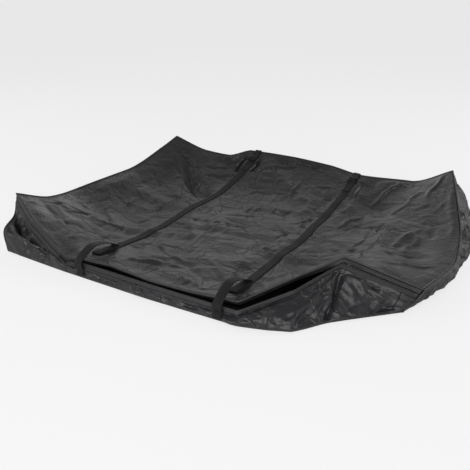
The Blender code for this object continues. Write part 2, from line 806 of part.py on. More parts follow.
class Strap:
    """One webbing strap over the lid, its ladder-lock buckle and its anchor webbing."""

    EDGE_DISTANCE = 0.042

    def __init__(self, lid, shell, side, centre):
        self.lid = lid
        self.shell = shell
        self.side = side
        self.edges = (centre - WEB_WIDTH / 2, centre + WEB_WIDTH / 2)
        self.columns = [int(np.argmin(abs(lid.columns - edge))) for edge in self.edges]
        self.on_lid = CLOTH / 2 + LAYER_GAP + WEB_THICKNESS / 2
        self.second = self.on_lid + WEB_THICKNESS + LAYER_GAP
        self.bar_height = self.second + WEB_THICKNESS / 2 + LAYER_GAP + BAR / 2
        self.turn = BAR / 2 * math.sqrt(2) + WEB_THICKNESS / 2 + 2 * LAYER_GAP
        back = min(lid.grid[c, -1, 1] for c in self.columns)
        self.anchor_y = back - self.EDGE_DISTANCE

    def lid_point(self, edge, forward, height):
        """A point above the lid, from the anchor bar forward."""
        point, normal = self.lid.on_column(edge, self.anchor_y - forward)
        return point + height * normal

    def rows_between(self, first, last):
        """Distances forward of the anchor bar of the lid's rows between two distances."""
        line = self.lid.grid[self.columns[0], :, 1]
        rows = [self.anchor_y - y for y in line]
        return sorted(r for r in rows if first < r < last)

    def buckle_path(self):
        """(forward, height) places of the strap through the buckle and along its tail."""
        bar = self.bar_height
        turns = [
            (2 * BAR_PITCH + 0.004, self.on_lid),
            (BAR_PITCH + 0.002, self.on_lid),
            (BAR_PITCH - 0.0014, self.on_lid + 0.0002),
            (BAR_PITCH - self.turn + 0.0003, self.on_lid + 0.0020),
        ]
        for angle in (180, 150, 120, 90, 60, 30, 0):
            across = self.turn * math.cos(math.radians(angle))
            turns.append((BAR_PITCH + across, bar + self.turn * math.sin(math.radians(angle))))
        turns.append((BAR_PITCH + self.turn + 0.0006, self.second + 0.0010))
        turns.append((BAR_PITCH + self.turn + 0.0030, self.second))
        path = [tuple(p) for p in curve(turns, 26)]
        end = 2 * BAR_PITCH + TAIL_LENGTH
        start = turns[-1][0] + 0.006
        path += [(r, self.second) for r in self.rows_between(start, end - 0.006)]
        path.append((end, self.second))
        return path

    def front_end(self, k):
        """Places from the front wall up over the mouth and into the slack folds."""
        column = self.columns[k]
        edge = self.edges[k]
        wall = self.shell.profiles["front"]
        normals = grid_normals(wall)[column]
        if normals[2][1] > 0:
            normals = -normals
        lift = CLOTH / 2 + LAYER_GAP + WEB_THICKNESS / 2
        along_wall = [wall[column, level] + lift * normals[level] for level in (5, 4, 3, 2)]
        seam = self.lid.grid[column, 0]
        lip = self.shell.lip[column]
        fold_y = seam[1] + 0.048
        back_y = seam[1] + 0.125
        first = self.anchor_y - fold_y
        second = self.anchor_y - back_y
        free = [
            along_wall[-1],
            lip + np.array([0.0, -0.0070, 0.0050]),
            lip + np.array([0.0, -0.0085, 0.0140]),
            lip + np.array([0.0, -0.0030, 0.0230]),
            seam + np.array([0.0, -0.0030, 0.0120]),
            seam + np.array([0.0, 0.0150, 0.0210]),
            seam + np.array([0.0, 0.0450, 0.0270]),
            self.lid_point(edge, second + 0.035, 0.0240),
            self.lid_point(edge, second + 0.006, 0.0130),
            self.lid_point(edge, second, 0.0088),
            self.lid_point(edge, second + 0.006, 0.0056),
            self.lid_point(edge, second + 0.030, 0.0052),
            self.lid_point(edge, first - 0.008, 0.0052),
            self.lid_point(edge, first + 0.001, 0.0036),
            self.lid_point(edge, first - 0.006, self.on_lid),
        ]
        return np.vstack([along_wall[:-1], curve(free, 36)]), first - 0.008

    def strap_grid(self):
        """The whole strap, from the front wall to the tail's end."""
        sides = []
        for k, edge in enumerate(self.edges):
            head, start = self.front_end(k)
            column = self.columns[k]
            middle = []
            for place, normal in zip(self.lid.grid[column], self.lid.normals[column]):
                if 2 * BAR_PITCH + 0.008 < self.anchor_y - place[1] < start - 0.008:
                    middle.append(place + self.on_lid * normal)
            tail = [self.lid_point(edge, f, h) for f, h in self.buckle_path()]
            sides.append(np.vstack([head, middle, tail]))
        return np.stack(sides, axis=1)

    def anchor_grid(self):
        """The short webbing from the back wall around the buckle's rear bar."""
        back_wall = self.shell.profiles["back"]
        normals = grid_normals(back_wall)
        count = len(back_wall)
        lift = CLOTH / 2 + LAYER_GAP + WEB_THICKNESS / 2
        sides = []
        for k, edge in enumerate(self.edges):
            column = count - 1 - self.columns[k]
            normal = normals[column] if normals[column, 2, 1] > 0 else -normals[column]
            wall = [back_wall[column, level] + lift * normal[level] for level in (4, 3, 2, 1)]
            seam = self.lid.grid[self.columns[k], -1]
            clear = PIPING_RADIUS + WEB_THICKNESS / 2 + 3 * LAYER_GAP
            loop = []
            for angle in (90, 60, 30, 0, -30, -60, -90):
                forward = self.turn * math.cos(math.radians(angle))
                above = self.turn * math.sin(math.radians(angle))
                loop.append(self.lid_point(edge, forward, self.bar_height + above))
            turns = [
                wall[-1],
                seam + clear * unit(np.array([0.0, 0.9, 0.45])),
                seam + clear * unit(np.array([0.0, 0.1, 1.0])),
                self.lid_point(edge, -ANCHOR_OVERLAP, self.second + 0.0012),
                self.lid_point(edge, -0.5 * ANCHOR_OVERLAP, self.second + 0.0014),
                self.lid_point(edge, -0.0050, self.bar_height + self.turn - 0.0012),
                *loop,
                self.lid_point(edge, -0.0025, self.on_lid + 0.0010),
                self.lid_point(edge, -0.0060, self.on_lid + 0.0006),
                self.lid_point(edge, -ANCHOR_OVERLAP, self.on_lid),
            ]
            sides.append(np.vstack([wall[:-1], curve(turns, 48)]))
        return np.stack(sides, axis=1)

    def buckle_frame(self):
        """The buckle's origin at the rear bar, and its axes: across, forward and up."""
        places = []
        for forward in (0.0, 2 * BAR_PITCH):
            ends = [self.lid_point(edge, forward, self.bar_height) for edge in self.edges]
            places.append((ends[0] + ends[1]) / 2)
        forward = unit(places[1] - places[0])
        across = self.lid_point(self.edges[1], 0.0, 0.0) - self.lid_point(self.edges[0], 0.0, 0.0)
        across = unit(across - np.dot(across, forward) * forward)
        upward = unit(np.cross(forward, across))
        if upward[2] < 0:
            upward = -upward
        return places[0], (across, forward, upward)

    def add(self, web_finish, buckle_finish):
        """Build the strap, the anchor webbing and the buckle."""
        add_sheet(f"strap_{self.side}", self.strap_grid(), WEB_THICKNESS, web_finish)
        add_sheet(f"strap_anchor_{self.side}", self.anchor_grid(), WEB_THICKNESS, web_finish)
        origin, axes = self.buckle_frame()
        inner = WEB_WIDTH / 2 + BUCKLE_CLEARANCE
        outer = inner + BUCKLE_SIDE
        low, high = -BAR / 2, BAR / 2
        length = 2 * BAR_PITCH
        blocks = [
            ((-outer, low, low), (-inner, length + high, high)),
            ((inner, low, low), (outer, length + high, high)),
        ]
        for place in (0.0, BAR_PITCH, length):
            blocks.append(((-inner, place + low, low), (inner, place + high, high)))
        add_blocks(f"buckle_{self.side}", blocks, axes, origin, buckle_finish)


def build():
    """Make every piece of the bag."""
    remove_start_objects()
    cloth = material("coated_cloth", (0.075, 0.076, 0.080), 0.42)
    base_cloth = material("base_cloth", (0.060, 0.061, 0.064), 0.50)
    binding = material("binding_tape", (0.050, 0.050, 0.053), 0.60)
    webbing = material("webbing", (0.040, 0.040, 0.042), 0.75)
    plastic = material("buckle_plastic", (0.020, 0.020, 0.021), 0.35)
    coil = material("zip_coil", (0.018, 0.018, 0.019), 0.45)
    metal = material("slider_paint", (0.030, 0.030, 0.032), 0.35, 0.5)

    lid = Lid()
    shell = Shell(lid)
    add_lid(lid, cloth)
    add_walls(shell, cloth)
    add_base(shell, base_cloth)
    add_base_binding(shell, binding)
    add_piping("lid_piping", shell.loop(shell.seams), PIPING_RADIUS, binding, closed=True)
    add_corner_piping(shell, binding)
    add_front_zip(shell, binding, coil)
    add_slider(shell, "left", SLIDER_FROM_MOUTH, metal, plastic)
    add_slider(shell, "right", SLIDER_FROM_MOUTH, metal, plastic)
    Strap(lid, shell, "left", -STRAP_OFFSET).add(webbing, plastic)
    Strap(lid, shell, "right", STRAP_OFFSET).add(webbing, plastic)


build()
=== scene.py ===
"""Looks of the rooftop cargo bag: its cloth, piping, webbing, zip and the studio around it.

The cloth panels are finer versions of the bag's own surfaces, crumpled and creased the way
thin coated cloth lies after it is unpacked. The frame of the bag is in metres, with +X along
its length, +Y from the front to the back and +Z up.
"""

import logging
import math
from dataclasses import dataclass, field
from enum import Enum
from typing import Any, Optional, Sequence

import bpy
import numpy as np
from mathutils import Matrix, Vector

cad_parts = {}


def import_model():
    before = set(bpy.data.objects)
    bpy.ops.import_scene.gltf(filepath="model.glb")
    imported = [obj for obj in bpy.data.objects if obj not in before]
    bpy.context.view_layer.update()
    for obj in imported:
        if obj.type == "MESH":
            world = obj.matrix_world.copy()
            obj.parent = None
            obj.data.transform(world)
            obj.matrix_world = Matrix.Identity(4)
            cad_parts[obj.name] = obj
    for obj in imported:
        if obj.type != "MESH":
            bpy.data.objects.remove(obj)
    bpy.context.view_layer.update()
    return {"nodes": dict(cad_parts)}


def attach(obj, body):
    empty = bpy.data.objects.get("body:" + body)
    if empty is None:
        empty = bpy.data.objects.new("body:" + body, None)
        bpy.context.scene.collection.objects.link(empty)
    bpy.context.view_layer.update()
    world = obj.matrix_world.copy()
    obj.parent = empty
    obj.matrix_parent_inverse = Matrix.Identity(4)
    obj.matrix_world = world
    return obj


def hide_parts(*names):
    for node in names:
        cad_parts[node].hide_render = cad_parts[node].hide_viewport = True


LOG = logging.getLogger("cargo_bag")

Array = np.ndarray
Keys = Sequence[tuple[float, Array]]
BODY = "bag"

# Main sizes of the bag, in metres
HALF_LENGTH = 0.55
HALF_WIDTH = 0.46
CORNER_RISE = 0.15
CLOTH = 0.0012
BASE_CLOTH = 0.0016
PIPING_RADIUS = 0.0022
CORNER_RADIUS = 0.0014
SEAM_GAP = 0.0003
SEAM_HALF = PIPING_RADIUS + SEAM_GAP + 0.0006
CORNER_HALF = CORNER_RADIUS + SEAM_GAP
UNDER_RUN = 0.055
FOLD_RADIUS = 0.004
LID_FLOOR = 0.018
UP = np.array([0.0, 0.0, 1.0])

# Webbing and the ladder-lock buckles
WEB_WIDTH = 0.025
WEB_THICKNESS = 0.0014
STRAP_OFFSET = 0.2125
LAYER_GAP = 0.0004
BAR = 0.0028
BAR_PITCH = 0.0105
TAIL_LENGTH = 0.060
ANCHOR_OVERLAP = 0.026

# Zip
TAPE_WIDTH = 0.0080
TAPE_THICKNESS = 0.0008
TAPE_HINGE = CLOTH + 3 * SEAM_GAP
COIL_GAP = 0.0007
COIL = 0.0018
COIL_SPACING = 0.0016
ZIP_BAND = SEAM_HALF + 2 * (TAPE_WIDTH + COIL_GAP + COIL) + COIL_SPACING + TAPE_HINGE
MOUTH_START = -0.484
MOUTH_END = 0.784
CORD_SHARE = 0.28

# Cells along each side of a table of random values, before it repeats
LATTICE_CELLS = 128


class Side(Enum):
    """The four sides of the bag, in the order of the seam around the lid."""

    FRONT = "front"
    RIGHT = "right"
    BACK = "back"
    LEFT = "left"


class Hand(Enum):
    """The left or the right one of a pair, with its sign along X."""

    LEFT = -1
    RIGHT = 1

    @property
    def label(self) -> str:
        """The word used in piece names."""
        return self.name.lower()


class FoldLook(Enum):
    """How folds run: evenly, swaying with faded ends, or thin and coming and going."""

    CALM = "calm"
    LOOSE = "loose"
    PRESSED = "pressed"


class Held(Enum):
    LAID = "laid"
    FOLDED = "folded"


def at(x: float, y: float, z: float = 0.0) -> Array:
    """A point given as parts of the half length, half width and corner rise."""
    return np.array([x * HALF_LENGTH, y * HALF_WIDTH, z * CORNER_RISE])


# Key places along the lid's edge: the grid column or row, then the place
FRONT_EDGE: Keys = (
    (-1.000, at(-0.987, -0.913, 1.00)),
    (-0.764, at(-0.764, -1.033, 0.72)),
    (-0.484, at(-0.484, -1.113, 0.33)),
    (-0.244, at(-0.244, -1.065, 0.30)),
    (0.018, at(0.018, -1.096, 0.30)),
    (0.229, at(0.229, -1.087, 0.30)),
    (0.460, at(0.460, -1.067, 0.33)),
    (0.644, at(0.644, -0.809, 0.60)),
    (0.784, at(0.784, -0.620, 0.80)),
    (1.000, at(1.122, -0.524, 0.40)),
)
BACK_EDGE: Keys = (
    (-1.000, at(-1.007, 0.917, 0.93)),
    (-0.764, at(-0.764, 0.952, 0.62)),
    (-0.567, at(-0.567, 0.978, 0.56)),
    (-0.445, at(-0.445, 1.100, 0.66)),
    (-0.107, at(-0.107, 1.124, 0.63)),
    (0.173, at(0.173, 1.110, 0.57)),
    (0.405, at(0.405, 1.050, 0.50)),
    (0.733, at(0.733, 1.150, 0.45)),
    (1.000, at(0.976, 1.133, 0.87)),
)
LEFT_EDGE: Keys = (
    (0.000, at(-0.987, 0.0, 1.00)),
    (0.144, at(-0.991, 0.0, 0.67)),
    (0.346, at(-1.053, 0.0, 0.50)),
    (0.640, at(-1.033, 0.0, 0.50)),
    (0.895, at(-1.013, 0.0, 0.78)),
    (1.000, at(-1.007, 0.0, 0.93)),
)
RIGHT_EDGE: Keys = (
    (0.000, at(1.122, 0.0, 0.40)),
    (0.247, at(1.191, 0.0, 0.40)),
    (0.470, at(1.160, 0.0, 0.45)),
    (0.651, at(1.104, 0.0, 0.57)),
    (1.000, at(0.976, 0.0, 0.87)),
)

# Where the walls meet the ground
GROUND: dict[Side, Keys] = {
    Side.FRONT: (
        (-1.000, at(-0.927, -1.093)),
        (-0.764, at(-0.762, -1.107)),
        (-0.484, at(-0.484, -1.122)),
        (0.018, at(0.018, -1.130)),
        (0.460, at(0.480, -1.118)),
        (0.644, at(0.693, -1.033)),
        (0.784, at(0.800, -0.870)),
        (1.000, at(1.051, -0.585)),
    ),
    Side.BACK: (
        (-1.000, at(-1.027, 0.978)),
        (-0.567, at(-0.567, 1.050)),
        (-0.445, at(-0.445, 1.160)),
        (-0.107, at(-0.107, 1.185)),
        (0.405, at(0.405, 1.135)),
        (0.733, at(0.733, 1.196)),
        (1.000, at(1.060, 1.185)),
    ),
    Side.LEFT: (
        (0.000, at(-0.927, -1.093)),
        (0.144, at(-1.027, -0.674)),
        (0.346, at(-1.091, -0.283)),
        (0.640, at(-1.073, 0.261)),
        (0.895, at(-1.045, 0.739)),
        (1.000, at(-1.027, 0.978)),
    ),
    Side.RIGHT: (
        (0.000, at(1.051, -0.585)),
        (0.247, at(1.164, -0.109)),
        (0.470, at(1.191, 0.261)),
        (0.651, at(1.164, 0.587)),
        (1.000, at(1.060, 1.185)),
    ),
}

# The front wall's own top edge where the mouth stands open
LIP: Keys = (
    (-0.364, at(-0.364, -1.120, 0.215)),
    (0.018, at(0.018, -1.122, 0.200)),
    (0.229, at(0.229, -1.117, 0.185)),
    (0.460, at(0.474, -1.108, 0.165)),
    (0.644, at(0.655, -0.902, 0.41)),
)

# The fold along each wall: how far out, how high, and the bulge in metres
FOLDS: dict[Side, Keys] = {
    Side.FRONT: (
        (-1.000, np.array([1.00, 0.47, 0.004])),
        (-0.764, np.array([0.92, 0.56, 0.002])),
        (-0.560, np.array([0.80, 0.48, 0.002])),
        (-0.400, np.array([0.62, 0.40, 0.002])),
        (0.460, np.array([0.62, 0.40, 0.004])),
        (1.000, np.array([0.55, 0.45, 0.004])),
    ),
    Side.LEFT: (
        (0.000, np.array([1.00, 0.47, 0.004])),
        (0.300, np.array([0.70, 0.38, 0.014])),
        (1.000, np.array([0.60, 0.40, 0.006])),
    ),
    Side.RIGHT: (
        (0.000, np.array([0.55, 0.45, 0.004])),
        (0.250, np.array([0.65, 0.42, 0.012])),
        (0.650, np.array([0.70, 0.42, 0.024])),
        (1.000, np.array([0.60, 0.40, 0.006])),
    ),
    Side.BACK: (
        (-1.000, np.array([0.60, 0.40, 0.006])),
        (0.000, np.array([0.65, 0.38, 0.010])),
        (1.000, np.array([0.60, 0.40, 0.006])),
    ),
}


@dataclass(frozen=True)
class Fold:
    """A loose fold or a pressed crease on the lid, between two places."""

    start: tuple[float, float]
    end: tuple[float, float]
    height: float
    spread: float


# How far each kind of fold sways off its line in metres, and how often, in radians
FOLD_SWAY = {FoldLook.CALM: 0.0, FoldLook.LOOSE: 0.004, FoldLook.PRESSED: 0.006}
FOLD_WAVES = {FoldLook.CALM: 19.0, FoldLook.LOOSE: 9.0, FoldLook.PRESSED: 19.0}

# The lid's loose folds, which the bag's solids have too
LID_FOLDS = (
    Fold((-0.93, -0.62), (-0.20, -0.40), 0.010, 0.045),
    Fold((-0.30, -0.30), (0.36, -0.16), -0.007, 0.035),
    Fold((0.40, -0.38), (1.00, -0.02), 0.009, 0.040),
    Fold((-0.80, 0.68), (-0.30, 0.10), -0.008, 0.050),
    Fold((-0.14, -0.80), (0.30, -0.55), 0.010, 0.045),
    Fold((0.42, 0.62), (0.90, 0.20), 0.008, 0.045),
    Fold((-0.10, 0.30), (0.36, 0.42), 0.008, 0.040),
    Fold((-0.95, 0.10), (-0.50, 0.02), 0.009, 0.045),
)

# The sharp creases that packing pressed into the lid
PRESSED_CREASES = (
    Fold((-1.00, -0.18), (-0.46, -0.10), 0.0026, 0.006),
    Fold((-0.71, -0.82), (-0.42, -0.66), -0.0034, 0.006),
    Fold((-0.31, -0.15), (0.02, -0.08), -0.0050, 0.006),
    Fold((0.56, -0.11), (1.02, -0.13), -0.0046, 0.006),
    Fold((0.69, 0.24), (0.86, 0.24), -0.0036, 0.006),
    Fold((0.97, 0.37), (1.12, 0.44), -0.0040, 0.006),
    Fold((-0.36, 0.51), (-0.04, 0.14), -0.0030, 0.006),
    Fold((-0.60, 0.30), (0.50, 0.36), 0.0024, 0.005),
    Fold((-0.50, 0.62), (0.85, 0.66), -0.0022, 0.005),
    Fold((-0.05, -0.92), (-0.02, 0.95), 0.0020, 0.005),
    Fold((0.72, -0.40), (0.66, 0.90), -0.0020, 0.005),
    Fold((-0.76, -0.50), (-0.74, 0.80), 0.0022, 0.005),
)

# The loose wrinkles and gathers that only the cloth shows
LOOSE_FOLDS = (
    Fold((0.58, 0.66), (0.68, 1.10), 0.0060, 0.009),
    Fold((0.88, 0.80), (0.93, 1.12), 0.0070, 0.010),
    Fold((0.75, 0.50), (0.83, 0.92), 0.0050, 0.008),
    Fold((0.85, -0.05), (0.94, 0.32), 0.0060, 0.009),
    Fold((0.93, -0.08), (0.97, 0.20), 0.0060, 0.009),
    Fold((0.68, -0.06), (0.70, 0.25), 0.0040, 0.007),
    Fold((0.50, 0.22), (0.58, 0.46), 0.0045, 0.008),
    Fold((-0.72, -0.60), (-0.82, -0.26), 0.0045, 0.008),
    Fold((0.09, 0.46), (0.04, 0.92), 0.0045, 0.008),
    Fold((-0.24, -0.90), (0.04, -0.82), 0.0060, 0.012),
    Fold((-0.30, -0.62), (0.04, -0.78), 0.0050, 0.010),
    Fold((1.00, 0.95), (1.13, 0.20), 0.0070, 0.014),
    Fold((0.86, -0.40), (1.12, -0.20), 0.0050, 0.010),
    Fold((-0.90, 0.82), (-0.45, 0.30), -0.0220, 0.036),
    Fold((-0.60, 0.62), (-0.34, 0.78), -0.0100, 0.010),
    Fold((-0.32, 0.84), (-0.04, 1.02), -0.0150, 0.008),
    Fold((-0.60, 0.90), (-0.47, 0.98), 0.0080, 0.012),
    Fold((-0.66, 0.74), (-0.50, 0.80), -0.0100, 0.008),
    Fold((-0.20, 1.05), (0.13, 1.07), -0.0140, 0.007),
    Fold((-0.46, 1.06), (-0.44, 0.80), -0.0280, 0.010),
    Fold((-0.50, 1.02), (-0.53, 0.86), 0.0120, 0.010),
    Fold((-0.335, 1.05), (-0.33, 0.84), -0.0260, 0.010),
    Fold((0.45, 0.96), (0.47, 0.70), -0.0100, 0.009),
)

# The same on the walls: stations along the lid's edge, and parts of the way down
WALL_FOLDS: dict[Side, tuple[Fold, ...]] = {
    Side.FRONT: (
        Fold((0.790, 0.02), (0.775, 1.00), -0.013, 0.011),
        Fold((0.762, 0.02), (0.750, 0.45), 0.005, 0.008),
        Fold((0.775, 0.10), (0.640, 0.80), 0.005, 0.016),
        Fold((0.800, 0.10), (0.860, 0.90), 0.004, 0.014),
        Fold((0.820, 0.10), (0.960, 0.70), 0.004, 0.012),
        Fold((0.300, 0.30), (0.560, 0.62), 0.010, 0.020),
        Fold((-0.970, 0.10), (-0.800, 0.45), -0.014, 0.030),
        Fold((-0.990, 0.42), (-0.720, 0.50), 0.010, 0.014),
    ),
}


def unit(vectors: Array) -> Array:
    """Vectors at length one, along the last axis."""
    lengths = np.linalg.norm(vectors, axis=-1, keepdims=True)
    return vectors / np.maximum(lengths, 1e-12)


def smooth_step(values: Array, low: float, high: float) -> Array:
    """0 below low, 1 above high, and smooth between."""
    part = np.clip((values - low) / (high - low), 0.0, 1.0)
    return part * part * (3 - 2 * part)


def rail(keys: Keys, where: Array, round_off: float = 0.0) -> Array:
    """Places on a rail of key places.

    Args:
        keys: the stations and their places.
        where: the stations that are asked for.
        round_off: 0 for straight stretches, up to 1 for a smooth curve.

    Returns:
        One row for each asked station.
    """
    stations = np.array([key[0] for key in keys])
    values = np.array([np.atleast_1d(key[1]) for key in keys], dtype=float)
    where = np.atleast_1d(where)
    straight = np.stack([np.interp(where, stations, column) for column in values.T], axis=-1)
    if not round_off:
        return straight
    steps = np.diff(stations)[:, None]
    slopes = np.diff(values, axis=0) / steps
    rising = slopes[:-1] * slopes[1:] > 0
    joined = np.where(rising, 2 * slopes[:-1] * slopes[1:] / (slopes[:-1] + slopes[1:] + 1e-12), 0)
    tangents = np.vstack([slopes[:1], joined, slopes[-1:]])
    index = np.clip(np.searchsorted(stations, where) - 1, 0, len(stations) - 2)
    t = np.clip((where - stations[index]) / steps[index, 0], 0.0, 1.0)[:, None]
    curved = (2 * t**3 - 3 * t**2 + 1) * values[index]
    curved += (t**3 - 2 * t**2 + t) * steps[index] * tangents[index]
    curved += (3 * t**2 - 2 * t**3) * values[index + 1]
    curved += (t**3 - t**2) * steps[index] * tangents[index + 1]
    return (1 - round_off) * straight + round_off * curved


def curve(points: Array, count: int) -> Array:
    """Smooth paths through points.

    Args:
        points: the places to pass, along the first axis.
        count: how many steps to make.

    Returns:
        count + 1 places along the first axis.
    """
    points = np.asarray(points, dtype=float)
    padded = np.concatenate([2 * points[:1] - points[1:2], points, 2 * points[-1:] - points[-2:-1]])
    along = np.linspace(0, len(points) - 1, count + 1)
    first = np.minimum(along.astype(int), len(points) - 2)
    t = (along - first).reshape((-1,) + (1,) * (points.ndim - 1))
    a, b, c, d = (padded[first + k] for k in range(4))
    places = 2 * b + (c - a) * t + (2 * a - 5 * b + 4 * c - d) * t**2
    return (places + (3 * b - a - 3 * c + d) * t**3) / 2


def grid_normals(grid: Array) -> Array:
    """Unit normals of a grid of points."""
    return unit(np.cross(np.gradient(grid, axis=0), np.gradient(grid, axis=1)))


def arc_lengths(grid: Array, axis: int) -> Array:
    """Distance along one axis of a grid, from its start."""
    steps = np.linalg.norm(np.diff(grid, axis=axis), axis=-1)
    return np.concatenate([np.zeros_like(np.take(steps, [0], axis)), np.cumsum(steps, axis)], axis)


@dataclass(frozen=True)
class Crumple:
    """Flat facets with sharp creases between them, as crumpled coated cloth has."""

    size: float
    height: float
    seed: int
    turn: float = 0.0
    stretch: float = 1.0

    def lattice(self, u: Array, v: Array, seed: int, size: float) -> tuple[Array, ...]:
        """Random values at the four corners of each point's cell, and its place in the cell.

        Args:
            u, v: places on the cloth, in metres.
            seed: the number that the random values start from.
            size: the size of a cell, in metres.

        Returns:
            The two parts of the way through the cell, then the values at its corners.
        """
        table = np.random.default_rng(seed).uniform(-1.0, 1.0, (LATTICE_CELLS, LATTICE_CELLS))
        a, b = u / size, v / size
        i, j = np.floor(a).astype(int), np.floor(b).astype(int)
        cells = LATTICE_CELLS
        steps = ((0, 0), (1, 0), (0, 1), (1, 1))
        corners = [table[(i + di) % cells, (j + dj) % cells] for di, dj in steps]
        return (a - i, b - j, *corners)

    def soft(self, u: Array, v: Array, seed: int, size: float) -> Array:
        """Smooth random heights from -1 to 1.

        Args:
            u, v: places on the cloth, in metres.
            seed: the number that the random values start from.
            size: the size of a cell, in metres.

        Returns:
            Heights of the same shape as the places.
        """
        a, b, p, q, r, s = self.lattice(u, v, seed, size)
        a, b = a * a * (3 - 2 * a), b * b * (3 - 2 * b)
        return (p * (1 - a) + q * a) * (1 - b) + (r * (1 - a) + s * a) * b

    def heights(self, u: Array, v: Array) -> Array:
        """Heights in metres over flat places on the cloth.

        Args:
            u: places along the cloth, in metres.
            v: places across the cloth, in metres.

        Returns:
            Heights of the same shape, both above and below zero.
        """
        cos, sin = math.cos(self.turn), math.sin(self.turn)
        u, v = (u * cos + v * sin) / self.stretch, v * cos - u * sin
        bend = 0.45 * self.size
        u = u + bend * self.soft(u, v, self.seed + 1, 1.3 * self.size)
        v = v + bend * self.soft(u, v, self.seed + 2, 1.3 * self.size)
        a, b, p, q, r, s = self.lattice(u, v, self.seed, self.size)
        flip = self.lattice(u, v, self.seed + 3, self.size)[2] > 0
        low = np.where(a > b, p + (q - p) * a + (s - q) * b, p + (s - r) * a + (r - p) * b)
        c = 1 - a
        high = np.where(c > b, q + (p - q) * c + (r - p) * b, q + (r - s) * c + (s - q) * b)
        return self.height * np.where(flip, low, high)


@dataclass(frozen=True)
class Creases:
    """Sharp creases scattered over a piece of cloth, steep on one side and gentle on the other."""

    count: int
    lengths: tuple[float, float]
    height: float
    widths: tuple[float, float]
    seed: int
    turn: float = 0.0
    spread: float = 1.6

    def heights(self, u: Array, v: Array) -> Array:
        """Heights in metres over flat places on the cloth.

        Args:
            u: places along the cloth, in metres.
            v: places across the cloth, in metres.

        Returns:
            Heights of the same shape, both above and below zero.
        """
        random = np.random.default_rng(self.seed)
        total = np.zeros(np.broadcast(u, v).shape)
        for _ in range(self.count):
            middle_u = random.uniform(u.min(), u.max())
            middle_v = random.uniform(v.min(), v.max())
            angle = self.turn + random.uniform(-self.spread, self.spread)
            length = random.uniform(*self.lengths)
            height = self.height * random.uniform(0.3, 1.0) * random.choice((-1.0, 1.0))
            steep, gentle = self.widths
            bow = random.uniform(-0.14, 0.14)
            cos, sin = math.cos(angle), math.sin(angle)
            along = ((u - middle_u) * cos + (v - middle_v) * sin) * 2 / length
            away = (v - middle_v) * cos - (u - middle_u) * sin + bow * length * along * along
            away = np.where(away > 0, away / steep, -away / gentle)
            total += height * np.clip(1 - away, 0, None) * np.clip(1 - along * along, 0, None)
        return total


# The lid's crumpled facets, then its creases from the longest to the shortest
LID_FACETS = Crumple(size=0.110, height=0.0080, seed=11, turn=2.1, stretch=1.8)
LID_SMALL_FACETS = Crumple(size=0.056, height=0.0046, seed=23, turn=2.0, stretch=1.7)
LID_LONG_CREASES = Creases(count=110, lengths=(0.080, 0.220), height=0.0050,
                           widths=(0.014, 0.055), seed=31, turn=2.1, spread=0.8)
LID_LEVEL_CREASES = Creases(count=110, lengths=(0.040, 0.160), height=0.0034,
                            widths=(0.006, 0.020), seed=41, turn=0.1, spread=0.4)
LID_SHORT_CREASES = Creases(count=170, lengths=(0.035, 0.110), height=0.0050,
                            widths=(0.006, 0.014), seed=37, turn=1.9, spread=0.9)


